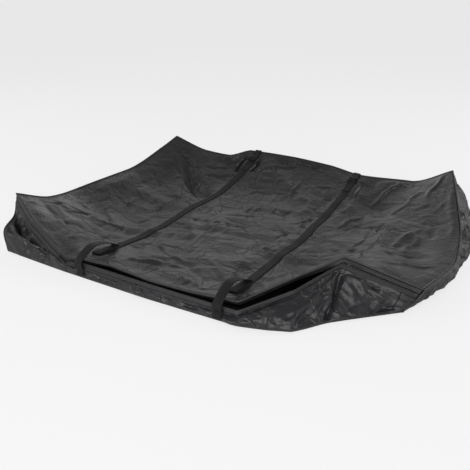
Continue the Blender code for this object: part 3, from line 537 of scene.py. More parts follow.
@dataclass
class LidSurface:
    """The lid's middle surface, crumpled, with its columns from front to back."""

    column_count: int = 244
    row_count: int = 200
    side_reach: float = 0.24
    end_reach: float = 0.34
    rise_power: float = 1.7
    fold_fade: float = 0.10
    fold_share: float = 0.6
    columns: Array = field(init=False)
    rows: Array = field(init=False)
    grid: Array = field(init=False)
    normals: Array = field(init=False)

    def __post_init__(self) -> None:
        """Lay out the grid."""
        self.columns = np.linspace(-1.0, 1.0, self.column_count)
        self.rows = np.linspace(0.0, 1.0, self.row_count)
        self.grid = self.calm()
        self.grid[..., 2] += self.crumpled()
        self.normals = grid_normals(self.grid)
        if self.normals[0, 0, 2] < 0:
            self.normals = -self.normals

    def calm(self) -> Array:
        """The lid without its creases.

        Returns:
            The grid of points, column by column.
        """
        columns, rows = self.columns[:, None], self.rows[None, :]
        front = rail(FRONT_EDGE, self.columns)[:, None, :]
        back = rail(BACK_EDGE, self.columns, 0.7)[:, None, :]
        left = rail(LEFT_EDGE, self.rows, 0.8)[None, :, :]
        right = rail(RIGHT_EDGE, self.rows, 0.8)[None, :, :]
        reach = 1 - MOUTH_END
        to_left_side = np.clip((-columns - 1 + reach) / reach, 0.0, None)
        to_right_side = np.clip((columns - 1 + reach) / reach, 0.0, None)
        x = columns * HALF_LENGTH + to_left_side * (left[..., 0] + HALF_LENGTH)
        x = x + to_right_side * (right[..., 0] - HALF_LENGTH)
        y = (1 - rows) * front[..., 1] + rows * back[..., 1]
        across = (columns + 1) / 2
        z = LID_FLOOR + self.edge_height(across, rows, front, back, left, right)
        folds = self.fold_share * self.fold_height(LID_FOLDS, x, y, FoldLook.CALM)
        z = z + folds * self.edge_fade(across, rows)
        return np.stack(np.broadcast_arrays(x, y, z), axis=-1).astype(float)

    def near(self, distance: Array, reach: float) -> Array:
        """How strongly a raised edge is felt at a distance from it."""
        return np.clip(1 - distance / reach, 0.0, None) ** self.rise_power

    def edge_height(self, across: Array, rows: Array, front: Array, back: Array,
                    left: Array, right: Array) -> Array:
        """The height that the raised edges and corners give.

        Args:
            across: parts of the way from the left edge to the right edge.
            rows: parts of the way from the front edge to the back edge.
            front, back, left, right: the four edges.

        Returns:
            Heights above the lid's floor.
        """
        to_front, to_back = self.near(rows, self.end_reach), self.near(1 - rows, self.end_reach)
        to_left = self.near(across, self.side_reach)
        to_right = self.near(1 - across, self.side_reach)
        height = to_front * (front[..., 2] - LID_FLOOR) + to_back * (back[..., 2] - LID_FLOOR)
        height = height + to_left * (left[..., 2] - LID_FLOOR) + to_right * (right[..., 2] - LID_FLOOR)
        for side, edge in ((to_left, LEFT_EDGE), (to_right, RIGHT_EDGE)):
            height = height - to_front * side * (edge[0][1][2] - LID_FLOOR)
            height = height - to_back * side * (edge[-1][1][2] - LID_FLOOR)
        return height

    def edge_fade(self, across: Array, rows: Array) -> Array:
        """0 on the seam and 1 inside the panel."""
        edge = np.minimum(np.minimum(rows, 1 - rows), np.minimum(across, 1 - across))
        return np.clip(edge / self.fold_fade, 0.0, 1.0)

    @staticmethod
    def fold_height(folds: Sequence[Fold], x: Array, y: Array, look: FoldLook) -> Array:
        """The height that a row of folds adds.

        Args:
            folds: the folds.
            x, y: places on the lid in metres.
            look: how the folds run and fall off.

        Returns:
            Heights in metres.
        """
        total = np.zeros(np.broadcast(x, y).shape)
        for number, fold in enumerate(folds):
            start = at(*fold.start)
            line = at(*fold.end) - start
            squared = float(line @ line)
            along = np.clip(((x - start[0]) * line[0] + (y - start[1]) * line[1]) / squared, 0, 1)
            wander = FOLD_SWAY[look] * np.sin(FOLD_WAVES[look] * along + 2.1 * number)
            off_x, off_y = x - start[0] - along * line[0], y - start[1] - along * line[1]
            away = np.abs(np.hypot(off_x, off_y) + wander * np.sign(off_y))
            if look is FoldLook.PRESSED:
                comes = 0.55 + 0.45 * np.sin(31 * along + 1.7 * number)
                total += fold.height * comes * np.exp(-away / fold.spread)
            else:
                fade = 1 - (2 * along - 1) ** 4 if look is FoldLook.LOOSE else 1.0
                total += fold.height * fade * np.clip(1 - away / fold.spread, 0.0, None)
        return total

    def crumpled(self) -> Array:
        """Heights of the crumpled facets and of the pressed creases.

        Returns:
            Heights in metres over the calm grid.
        """
        x, y = self.grid[..., 0], self.grid[..., 1]
        across = (self.columns[:, None] + 1) / 2
        rows = self.rows[None, :]
        edge_x = np.minimum(across, 1 - across) * 2 * HALF_LENGTH
        edge_y = np.minimum(rows, 1 - rows) * 2 * HALF_WIDTH
        inside = smooth_step(np.minimum(edge_x, edge_y), 0.002, 0.045)
        from_strap = np.minimum(abs(x - STRAP_OFFSET), abs(x + STRAP_OFFSET))
        beside_strap = smooth_step(from_strap, 0.010, 0.035)
        lively = 0.75 + 0.25 * smooth_step(-y, -0.10, 0.30) * smooth_step(-abs(x - 0.05), -0.42, -0.20)
        broad = LID_FACETS.heights(x, y)
        middle = LID_SMALL_FACETS.heights(x, y) + LID_LONG_CREASES.heights(x, y)
        fine = LID_SHORT_CREASES.heights(x, y) + LID_LEVEL_CREASES.heights(x, y)
        heights = broad * (0.6 + 0.4 * beside_strap) + lively * beside_strap * (middle + fine)
        heights = heights + beside_strap * self.fold_height(PRESSED_CREASES, x, y, FoldLook.PRESSED)
        loose = self.fold_height(LOOSE_FOLDS, x, y, FoldLook.LOOSE)
        loose = loose * smooth_step(from_strap, 0.013, 0.020)
        return heights * inside + loose * smooth_step(np.minimum(edge_x, edge_y), 0.002, 0.014)

    def on_column(self, x: float, y: Array) -> tuple[Array, Array]:
        """The lid's points and normals along one line from front to back.

        Args:
            x: the line's place along the bag.
            y: places along the line.

        Returns:
            Points and unit normals, one row for each y.
        """
        place = (x / HALF_LENGTH + 1) / 2 * (self.column_count - 1)
        first = int(place)
        part = place - first
        line = (1 - part) * self.grid[first] + part * self.grid[first + 1]
        normal = (1 - part) * self.normals[first] + part * self.normals[first + 1]
        y = np.atleast_1d(y)
        points = np.stack([np.interp(y, line[:, 1], line[:, k]) for k in range(3)], axis=-1)
        normals = np.stack([np.interp(y, line[:, 1], normal[:, k]) for k in range(3)], axis=-1)
        return points, unit(normals)


@dataclass
class ShellSurface:
    """The seam around the lid, the ground line and the walls between them."""

    lid: LidSurface
    levels: int = 26
    ramp: float = 0.084
    left_down: Array = field(init=False)
    right_down: Array = field(init=False)

    def __post_init__(self) -> None:
        """Lay out the seams, the mouth and the four walls."""
        grid = self.lid.grid
        columns, rows = self.lid.columns, self.lid.rows
        self.seams = {Side.FRONT: grid[:, 0], Side.RIGHT: grid[-1],
                      Side.BACK: grid[::-1, -1], Side.LEFT: grid[0, ::-1]}
        self.stations = {Side.FRONT: columns, Side.RIGHT: rows,
                         Side.BACK: columns[::-1], Side.LEFT: rows[::-1]}
        self.ground = {side: rail(GROUND[side], self.stations[side], 0.5) for side in Side}
        self.outward = self.ground_normals()
        self.zip_directions()
        self.profiles = {side: self.wall(side) for side in Side}

    def ground_normals(self) -> dict[Side, Array]:
        """Level directions away from the bag at every ground place.

        Returns:
            For each side, one direction for each place on its ground line.
        """
        loop = np.vstack([self.ground[side][:-1] for side in Side])
        reach = 8
        steps = np.roll(loop, -reach, axis=0) - np.roll(loop, reach, axis=0)
        normals = np.stack([steps[:, 1], -steps[:, 0], 0 * steps[:, 0]], axis=1)
        for _ in range(40):
            normals = unit(normals + np.roll(normals, 1, axis=0) + np.roll(normals, -1, axis=0))
        found, first = {}, 0
        for side in Side:
            count = len(self.ground[side])
            found[side] = normals[[(first + k) % len(loop) for k in range(count)]]
            first += count - 1
        return found

    def mouth_share(self, part: Array) -> Array:
        """0 where the zip is closed and 1 where the mouth stands fully open."""
        inside = np.minimum(part - MOUTH_START, MOUTH_END - part) * HALF_LENGTH
        return np.clip(inside / self.ramp, 0.0, 1.0)

    def zip_directions(self) -> None:
        """Directions down the wall along the front, and the front wall's top edge."""
        parts = self.stations[Side.FRONT]
        seam = self.seams[Side.FRONT]
        start, end = rail(FRONT_EDGE, MOUTH_START)[0], rail(FRONT_EDGE, MOUTH_END)[0]
        before, corner = FRONT_EDGE[1], FRONT_EDGE[-1]
        left_along = unit(before[1] - start)
        right_along = unit(corner[1] - end)
        left = np.array([0.0, -0.30, -0.95])
        right = np.array([0.0, -0.70, -0.72])
        self.left_down = unit(left - (left @ left_along) * left_along)
        self.right_down = unit(right - (right @ right_along) * right_along)
        along = np.clip((parts - MOUTH_START) / (MOUTH_END - MOUTH_START), 0.0, 1.0)[:, None]
        share = self.mouth_share(parts)[:, None]
        down = unit((1 - along) * self.left_down + along * self.right_down)
        down = unit((1 - share) * down + share * np.array([0.0, -0.15, -0.99]))
        to_corner = np.clip((before[0] - parts) / (before[0] + 1), 0.0, 1.0)[:, None]
        down = unit((1 - to_corner) * down + to_corner * self.corner_down(0))
        last = smooth_step(parts, 0.96, 1.0)[:, None]
        self.down = unit((1 - last) * down + last * self.corner_down(-1))
        lip_keys = [(MOUTH_START, start + ZIP_BAND * self.left_down), *LIP,
                    (MOUTH_END, end + ZIP_BAND * self.right_down)]
        inside = (parts > MOUTH_START) & (parts < MOUTH_END)
        self.lip = np.where(inside[:, None], rail(lip_keys, parts), seam + ZIP_BAND * self.down)

    @staticmethod
    def drawn_in(share: Array, outward: Array) -> Array:
        """How far a deep fold draws the wall above it inward and down."""
        pocket = np.clip((share - 0.7) / 0.3, 0.0, None)
        return 0.010 * pocket * (outward + UP)

    def tuck(self, head: Array, fold: Array, share: Array, outward: Array) -> Array:
        """Places on the wall between the lid's edge and the fold, drawn in by a deep fold.

        Args:
            head: places on the lid's edge.
            fold: places on the fold below them.
            share: how far out the fold stands.
            outward: level directions away from the bag.

        Returns:
            One place for each place on the edge.
        """
        length = np.linalg.norm(fold - head, axis=-1, keepdims=True)
        part = np.clip(1.35 * ZIP_BAND / length, 0.5, 0.8)
        return head + part * (fold - head) - self.drawn_in(share, outward)

    def fold_line(self, head: Array, ground: Array, outward: Array, values: Array) -> Array:
        """Where the fold along a wall stands.

        Args:
            head: places on the lid's edge.
            ground: places on the ground line.
            outward: level directions away from the bag.
            values: the fold's share, height and bulge at each place.

        Returns:
            One place for each place on the edge.
        """
        share, height, bulge = values[:, :1], values[:, 1:2], values[:, 2:]
        fold = (1 - share) * head + share * ground
        fold[:, 2:] = height * head[:, 2:]
        return fold + bulge * outward

    def corner_down(self, end: int) -> Array:
        """The direction down a front corner seam at its top.

        Args:
            end: 0 for the front left corner, -1 for the front right one.

        Returns:
            A unit direction.
        """
        values = rail(FOLDS[Side.FRONT], self.stations[Side.FRONT][end])
        head = self.seams[Side.FRONT][end][None]
        ground = self.ground[Side.FRONT][end][None]
        outward = self.outward[Side.FRONT][end][None]
        fold = self.fold_line(head, ground, outward, values)
        return unit(self.tuck(head, fold, values[:, :1], outward) - head)[0]

    def wall(self, side: Side) -> Array:
        """One wall's cross-sections, from its top edge down to the base seam.

        Args:
            side: the side that the wall closes.

        Returns:
            The wall's grid of points: along the seam, then down the wall.
        """
        seam, ground, outward = self.seams[side], self.ground[side], self.outward[side]
        values = rail(FOLDS[side], self.stations[side])
        share, bulge = values[:, :1], values[:, 2:]
        head = self.lip - ZIP_BAND * self.down if side is Side.FRONT else seam
        fold = self.fold_line(head, ground, outward, values)
        tuck = self.tuck(head, fold, share, outward)
        top = self.lip if side is Side.FRONT else seam + SEAM_HALF * unit(tuck - seam)
        if side is Side.FRONT:
            inner = (top + fold) / 2 - self.drawn_in(share, outward)
            tuck[1:-1] = inner[1:-1]
        low = BASE_CLOTH / 2
        foot = ground + bulge * outward + 2.6 * FOLD_RADIUS * UP
        turn = ground + 0.6 * bulge * outward + 0.9 * FOLD_RADIUS * UP
        under = ground - FOLD_RADIUS * outward + low * UP
        half = ground - 0.5 * UNDER_RUN * outward + low * UP
        last = ground - (UNDER_RUN - SEAM_HALF) * outward + low * UP
        upper = curve(np.stack([top, tuck, fold, foot]), self.levels)
        round_foot = curve(np.stack([upper[-1], turn, under]), 6)[1:]
        profile = np.concatenate([upper, round_foot, half[None], last[None]]).swapaxes(0, 1)
        profile = self.crumpled(side, profile)
        profile[..., 2] = np.maximum(profile[..., 2], low)
        return profile

    def crumpled(self, side: Side, profile: Array) -> Array:
        """The wall with its creases, which fade out at the seams and under the bag.

        Args:
            side: the side that the wall closes.
            profile: the smooth wall's grid of points.

        Returns:
            The creased wall's grid of points.
        """
        along = arc_lengths(profile, 0).mean(axis=1, keepdims=True) + 0 * profile[..., 0]
        down = arc_lengths(profile, 1)
        seed = 100 + 10 * list(Side).index(side)
        facets = Crumple(size=0.105, height=0.0100, seed=seed, turn=0.15)
        small = Crumple(size=0.050, height=0.0050, seed=seed + 4, turn=0.5, stretch=1.2)
        creases = Creases(count=220, lengths=(0.030, 0.110), height=0.0055,
                          widths=(0.009, 0.030), seed=seed + 7, turn=0.9, spread=1.3)
        broad, middle = facets.heights(along, down), small.heights(along, down)
        fine = creases.heights(along, down) + self.wall_folds(side, along, down)
        top_gap = 0.004 if side is Side.FRONT else 0.0
        fade = smooth_step(down, top_gap, 0.014)
        fade = fade * (1 - smooth_step(np.arange(profile.shape[1]), self.levels - 3, self.levels + 4))
        end = np.minimum(along, along[-1:] - along)
        fade = fade * smooth_step(end, 0.0, 0.035)
        if side is Side.FRONT:
            from_strap = np.abs(np.abs(profile[..., 0]) - STRAP_OFFSET)
            fade = fade * (0.25 + 0.75 * smooth_step(from_strap, 0.012, 0.035))
        normals = grid_normals(profile)
        facing = np.sum(normals * self.outward[side][:, None], axis=-1)
        if facing.mean() < 0:
            normals = -normals
        return profile + normals * (fade * (broad + middle + fine))[..., None]

    def wall_folds(self, side: Side, along: Array, down: Array) -> Array:
        """Heights of the folds that stand in known places on a wall.

        Args:
            side: the side that the wall closes.
            along: distances along the wall, in metres.
            down: distances down the wall, in metres.

        Returns:
            Heights in metres.
        """
        stations, total = self.stations[side], np.zeros(along.shape)
        forward = np.argsort(stations)
        for fold in WALL_FOLDS.get(side, ()):
            ends = []
            for station, part in (fold.start, fold.end):
                place = float(np.interp(station, stations[forward], along[forward, 0]))
                row = int(np.argmin(abs(along[:, 0] - place)))
                ends.append(np.array([place, part * down[row, self.levels]]))
            start, line = ends[0], ends[1] - ends[0]
            part = (along - start[0]) * line[0] + (down - start[1]) * line[1]
            part = np.clip(part / float(line @ line), 0, 1)
            away = np.hypot(along - start[0] - part * line[0], down - start[1] - part * line[1])
            total += fold.height * np.clip(1 - away / fold.spread, 0, None)
        return total

    def loop(self, table: dict[Side, Array]) -> Array:
        """One closed loop of the four sides' values."""
        return np.vstack([table[side][:-1] for side in Side])


class Link:
    """A shader value, with the usual signs of arithmetic."""

    def __init__(self, shade: "NodeGraph", socket: Any) -> None:
        """Keep the node tree and the socket."""
        self.shade = shade
        self.socket = socket

    def math(self, operation: str, *values: Any) -> "Link":
        """The outcome of a Math node."""
        return self.shade.node("ShaderNodeMath", {"operation": operation}, dict(enumerate(values)))

    def __add__(self, other: Any) -> "Link":
        """This plus another."""
        return self.math("ADD", self, other)

    def __sub__(self, other: Any) -> "Link":
        """This minus another."""
        return self.math("SUBTRACT", self, other)

    def __rsub__(self, other: Any) -> "Link":
        """Another minus this."""
        return self.math("SUBTRACT", other, self)

    def __mul__(self, other: Any) -> "Link":
        """This times another."""
        return self.math("MULTIPLY", self, other)

    def __gt__(self, other: Any) -> "Link":
        """1 where this is above another, else 0."""
        return self.math("GREATER_THAN", self, other)

    def sine(self) -> "Link":
        """The sine."""
        return self.math("SINE", self)

    def absolute(self) -> "Link":
        """The value without its sign."""
        return self.math("ABSOLUTE", self)

    def least(self, other: Any) -> "Link":
        """The smaller of this and another."""
        return self.math("MINIMUM", self, other)

    def most(self, other: Any) -> "Link":
        """The larger of this and another."""
        return self.math("MAXIMUM", self, other)

    def power(self, exponent: float) -> "Link":
        """This to a power."""
        return self.math("POWER", self, exponent)


class NodeGraph:
    """A node tree, and short ways to add to it."""

    def __init__(self, tree: bpy.types.NodeTree) -> None:
        """Keep the tree."""
        self.tree = tree

    def node(self, kind: str, settings: Optional[dict[str, Any]] = None,
             values: Optional[dict[Any, Any]] = None, out: Any = 0) -> Link:
        """Add one node.

        Args:
            kind: the node's type.
            settings: its properties, which are set first.
            values: numbers, colours or links for its sockets, by name or number.
            out: the outcome's name or number.

        Returns:
            The chosen outcome.
        """
        made = self.tree.nodes.new(kind)
        for name, value in (settings or {}).items():
            setattr(made, name, value)
        for name, value in (values or {}).items():
            self.feed(made.inputs[name], value)
        return Link(self, made.outputs[out])

    def feed(self, socket: Any, value: Any) -> None:
        """Give a socket a link or a value.

        Args:
            socket: the socket to feed.
            value: a link, a number, a colour or a vector.
        """
        if isinstance(value, Link):
            self.tree.links.new(value.socket, socket)
        else:
            socket.default_value = value

    def vector(self, operation: str, *values: Any, out: Any = 0) -> Link:
        """The outcome of a Vector Math node, from links or triples."""
        return self.node("ShaderNodeVectorMath", {"operation": operation}, dict(enumerate(values)), out)

    def noise(self, vector: Link, scale: float, detail: float = 3.0, rough: float = 0.5) -> Link:
        """Noise from 0 to 1 at a scale per metre."""
        return self.node("ShaderNodeTexNoise", {}, {
            "Vector": vector, "Scale": scale, "Detail": detail, "Roughness": rough})

    def part(self, vector: Link, axis: int) -> Link:
        """One coordinate of a vector."""
        return self.node("ShaderNodeSeparateXYZ", {}, {0: vector}, axis)

    def span(self, value: Link, old: tuple[float, float], new: tuple[float, float]) -> Link:
        """A value moved smoothly from an old range into a new one.

        Args:
            value: the value to move.
            old: its range before.
            new: its range after.

        Returns:
            The moved value.
        """
        return self.node("ShaderNodeMapRange", {"interpolation_type": "SMOOTHSTEP"}, {
            "Value": value, "From Min": old[0], "From Max": old[1],
            "To Min": new[0], "To Max": new[1]})


class Shade(NodeGraph):
    """A material and its node tree."""

    def __init__(self, name: str) -> None:
        """Make a material with its Principled shader.

        Args:
            name: the material's name.
        """
        self.material = bpy.data.materials.new(name)
        self.material.use_nodes = True
        super().__init__(self.material.node_tree)
        self.principled = self.tree.nodes["Principled BSDF"]
        self.output = self.tree.nodes["Material Output"]

    def set(self, **values: Any) -> None:
        """Feed the Principled shader's sockets, with spaces for the low lines in their names."""
        for name, value in values.items():
            self.feed(self.principled.inputs[name.replace("_", " ")], value)

    def flat(self) -> tuple[Link, Link, Link]:
        """The cloth's own flat coordinates in metres: the vector, along and across."""
        vector = self.node("ShaderNodeUVMap", {"uv_map": "cloth"})
        return vector, self.part(vector, 0), self.part(vector, 1)

    def place(self) -> Link:
        """The object's coordinates in metres."""
        return self.node("ShaderNodeTexCoord", out="Object")

    def blend(self, part: Any, first: Any, second: Any) -> Link:
        """A colour between two colours."""
        return self.node("ShaderNodeMix", {"data_type": "RGBA"}, {0: part, 6: first, 7: second}, 2)

    def bump(self, height: Link, strength: float, distance: float,
             normal: Optional[Link] = None) -> Link:
        """A bump from a height, over another normal where one is given.

        Args:
            height: the height to show.
            strength: how much of it shows, from 0 to 1.
            distance: how high a height of 1 is, in metres.
            normal: the normal that it lies over.

        Returns:
            The bumped normal.
        """
        values: dict[Any, Any] = {"Height": height, "Strength": strength, "Distance": distance}
        if normal is not None:
            values["Normal"] = normal
        return self.node("ShaderNodeBump", {}, values)


def grey(level: float, violet: float = 0.0) -> tuple[float, float, float, float]:
    """A near-black grey, with a touch of violet where it is asked for."""
    return (level * (1 + violet / 2), level * (1 - violet / 2), level * (1 + violet), 1.0)


# Small creases and packing creases in the cloth's finish: half widths and wandering, in metres
LINE_HALF = 0.001786
LINE_SWAY = 0.024
PACK_HALF = 0.002632
PACK_DRIFT = 0.050


@dataclass(frozen=True)
class CoatedCloth:
    """Thin polyester with a satin coating, slightly polished in patches."""

    name: str = "coated_cloth"
    level: float = 0.016
    roughness: float = 0.35
    crinkle: float = 0.0017
    fold_mark: float = 0.0026
    ripple: float = 0.0022
    violet: float = 0.09
    thread: float = 0.0007
    pack_along: float = 0.27
    pack_across: float = 0.165

    def build(self) -> bpy.types.Material:
        """Make the material.

        Returns:
            The material.
        """
        shade = Shade(self.name)
        _, along, across = shade.flat()
        place = shade.place()
        patches = shade.noise(place, 5.0, 4.0, 0.55)
        specks = shade.noise(place, 260.0, 2.0)
        part = patches * 0.75 + specks * 0.25
        dark, pale = grey(self.level * 0.78, self.violet), grey(self.level * 1.25, self.violet)
        shade.set(Base_Color=shade.blend(part, dark, pale))
        rubbed = shade.noise(place, 22.0, 4.0, 0.6)
        shade.set(Roughness=rubbed * 0.16 + (self.roughness - 0.08))
        thread = 2 * math.pi / self.thread
        weave = (along * thread).sine() * (across * thread).sine()
        crinkle = self.lines(shade, place, 6.0) + self.lines(shade, place, 11.0)
        crinkle = crinkle + self.lines(shade, place, 19.0) * 0.7
        ripple = shade.noise(place, 36.0, 2.0, 0.5) * self.ripple
        normal = shade.bump(weave, 0.12, 0.0002)
        folded = self.packing(shade, place, across, self.pack_across)
        folded = folded + self.packing(shade, place, along, self.pack_along)
        relief = crinkle * self.crinkle - folded * self.fold_mark
        normal = shade.bump(relief + ripple, 1.0, 1.0, normal)
        shade.set(Normal=normal, IOR=1.5, Specular_IOR_Level=0.5)
        return shade.material

    @staticmethod
    def lines(shade: Shade, place: Link, scale: float) -> Link:
        """Thin creases that meet at angles and come and go, as a share.

        Args:
            shade: the material.
            place: the coordinates, in metres.
            scale: how many cells fit in a metre.

        Returns:
            1 on a crease, falling to 0 beside it.
        """
        wobble = shade.node("ShaderNodeTexNoise", {}, {"Vector": place, "Scale": 14.0}, "Color")
        bent = shade.vector("MULTIPLY_ADD", wobble, (LINE_SWAY,) * 3, place)
        level = shade.node("ShaderNodeTexVoronoi", {"feature": "DISTANCE_TO_EDGE"},
                           {"Vector": bent, "Scale": scale}, "Distance")
        present = (shade.noise(place, scale * 0.7, 0.0) - 0.47).most(0.0) * 5
        return (1 - level * (1 / (LINE_HALF * scale))).most(0.0) * present.least(1.0)

    @staticmethod
    def packing(shade: Shade, place: Link, ruler: Link, pitch: float) -> Link:
        """Long creases from folding the bag up, at equal steps along a ruler, as a share.

        Args:
            shade: the material.
            place: the coordinates, in metres.
            ruler: the distance across the creases, in metres.
            pitch: the step from crease to crease, in metres.

        Returns:
            1 on a crease, falling to 0 beside it.
        """
        drift = (shade.noise(place, 3.5, 1.0) - 0.5) * PACK_DRIFT
        turns = ((ruler + drift) * (math.pi / pitch)).sine().absolute()
        present = (shade.noise(place, 1 / pitch, 1.0) - 0.40).most(0.0) * 8
        steep = pitch / (math.pi * PACK_HALF)
        return (1 - turns * steep).most(0.0) * present.least(1.0)


@dataclass(frozen=True)
class BindingTape:
    """Fine ribbed tape, as folded round piping and seams."""

    name: str = "binding_tape"
    level: float = 0.028
    gloss: float = 0.5
    roughness: float = 0.45
    rib: float = 0.0011
    stitch: float = 0.0036
    violet: float = 0.09

    def build(self) -> bpy.types.Material:
        """Make the material.

        Returns:
            The material.
        """
        shade = Shade(self.name)
        _, along, _ = shade.flat()
        ribs = (along * (2 * math.pi / self.rib)).sine()
        stitches = ((along * (2 * math.pi / self.stitch)).sine() > 0.1) * 1.0
        fuzz = shade.noise(shade.place(), 380.0, 2.0)
        part = fuzz * 0.7 + stitches * 0.3
        dark, pale = grey(self.level * 0.7, self.violet), grey(self.level * 1.5, self.violet)
        shade.set(Base_Color=shade.blend(part, dark, pale))
        shade.set(Roughness=fuzz * 0.2 + self.roughness)
        shade.set(Normal=shade.bump(ribs * 0.4 + fuzz, 0.35, 0.0003), Specular_IOR_Level=self.gloss)
        return shade.material


@dataclass(frozen=True)
class Webbing:
    """Flat woven polyester webbing with a chevron rib and firm edges."""

    name: str = "webbing"
    level: float = 0.011
    rib: float = 0.0017
    cord: float = 0.0021
    violet: float = 0.06

    def build(self) -> bpy.types.Material:
        """Make the material.

        Returns:
            The material.
        """
        shade = Shade(self.name)
        _, along, across = shade.flat()
        chevron = (across - WEB_WIDTH / 2).absolute()
        ribs = ((along + chevron * 0.8) * (2 * math.pi / self.rib)).sine()
        cords = (across * (2 * math.pi / self.cord)).sine()
        edge = chevron > WEB_WIDTH / 2 - 0.0016
        fuzz = shade.noise(shade.place(), 420.0, 2.0)
        worn = shade.noise(shade.place(), 30.0, 4.0)
        part = ribs * 0.18 + fuzz * 0.35 + worn * 0.35 + edge * 0.12
        dark, pale = grey(self.level * 0.6, self.violet), grey(self.level * 1.6, self.violet)
        shade.set(Base_Color=shade.blend(part, dark, pale))
        shade.set(Roughness=worn * 0.2 + 0.52)
        height = ribs * 0.6 + cords * 0.3 + fuzz * 0.4
        shade.set(Normal=shade.bump(height, 0.5, 0.0004), Sheen_Weight=0.03, Sheen_Roughness=0.5)
        shade.set(Specular_IOR_Level=0.20)
        return shade.material


@dataclass(frozen=True)
class MouldedPlastic:
    """Black moulded plastic with a fine spark-eroded grain."""

    name: str = "buckle_plastic"
    level: float = 0.006

    def build(self) -> bpy.types.Material:
        """Make the material.

        Returns:
            The material.
        """
        shade = Shade(self.name)
        place = shade.place()
        grain = shade.noise(place, 1400.0, 2.0)
        worn = shade.noise(place, 70.0, 4.0)
        shade.set(Base_Color=shade.blend(worn, grey(self.level * 0.7), grey(self.level * 1.7)))
        shade.set(Roughness=worn * 0.18 + 0.36)
        shade.set(Normal=shade.bump(grain, 0.25, 0.0002), Specular_IOR_Level=0.3)
        return shade.material


@dataclass(frozen=True)
class NylonCoil:
    """Dark nylon of the zip's teeth."""

    name: str = "zip_coil"
    level: float = 0.028

    def build(self) -> bpy.types.Material:
        """Make the material.

        Returns:
            The material.
        """
        shade = Shade(self.name)
        worn = shade.noise(shade.place(), 240.0, 2.0)
        shade.set(Base_Color=shade.blend(worn, grey(self.level * 0.7), grey(self.level * 1.6)))
        shade.set(Roughness=worn * 0.2 + 0.32)
        return shade.material


@dataclass(frozen=True)
class PaintedMetal:
    """Black lacquer over die-cast metal, rubbed a little in places."""

    name: str = "slider_paint"

    def build(self) -> bpy.types.Material:
        """Make the material.

        Returns:
            The material.
        """
        shade = Shade(self.name)
        place = shade.place()
        worn = shade.noise(place, 900.0, 3.0).power(4.0)
        shade.set(Base_Color=shade.blend(worn, grey(0.016), grey(0.22)))
        shade.set(Roughness=shade.noise(place, 300.0) * 0.2 + 0.22, Metallic=worn * 0.8)
        return shade.material


@dataclass(frozen=True)
class StudioFloor:
    """Plain white floor that keeps a soft shadow."""

    name: str = "studio_floor"
    bright: float = 0.72

    def build(self) -> bpy.types.Material:
        """Make the material.

        Returns:
            The material.
        """
        shade = Shade(self.name)
        shade.set(Base_Color=(0.92, 0.92, 0.92, 1.0), Roughness=0.9, Specular_IOR_Level=0.1)
        glow = shade.node("ShaderNodeEmission", {}, {"Color": (1, 1, 1, 1), "Strength": 1.0})
        seen = shade.node("ShaderNodeLightPath", out="Is Camera Ray") * self.bright
        plain = Link(shade, shade.principled.outputs[0])
        mixed = shade.node("ShaderNodeMixShader", {}, {0: seen, 1: plain, 2: glow})
        shade.feed(shade.output.inputs["Surface"], mixed)
        return shade.material


@dataclass
class Finishes:
    """Every finish of the bag, built once."""

    cloth: bpy.types.Material = field(default_factory=lambda: CoatedCloth().build())
    base: bpy.types.Material = field(
        default_factory=lambda: CoatedCloth("base_cloth", level=0.020, roughness=0.46,
                                            crinkle=0.0003).build())
    binding: bpy.types.Material = field(default_factory=lambda: BindingTape().build())
    ribbon: bpy.types.Material = field(
        default_factory=lambda: BindingTape(level=0.014, gloss=0.42, roughness=0.33).build())
    webbing: bpy.types.Material = field(default_factory=lambda: Webbing().build())
    plastic: bpy.types.Material = field(default_factory=lambda: MouldedPlastic().build())
    coil: bpy.types.Material = field(default_factory=lambda: NylonCoil().build())
    metal: bpy.types.Material = field(default_factory=lambda: PaintedMetal().build())


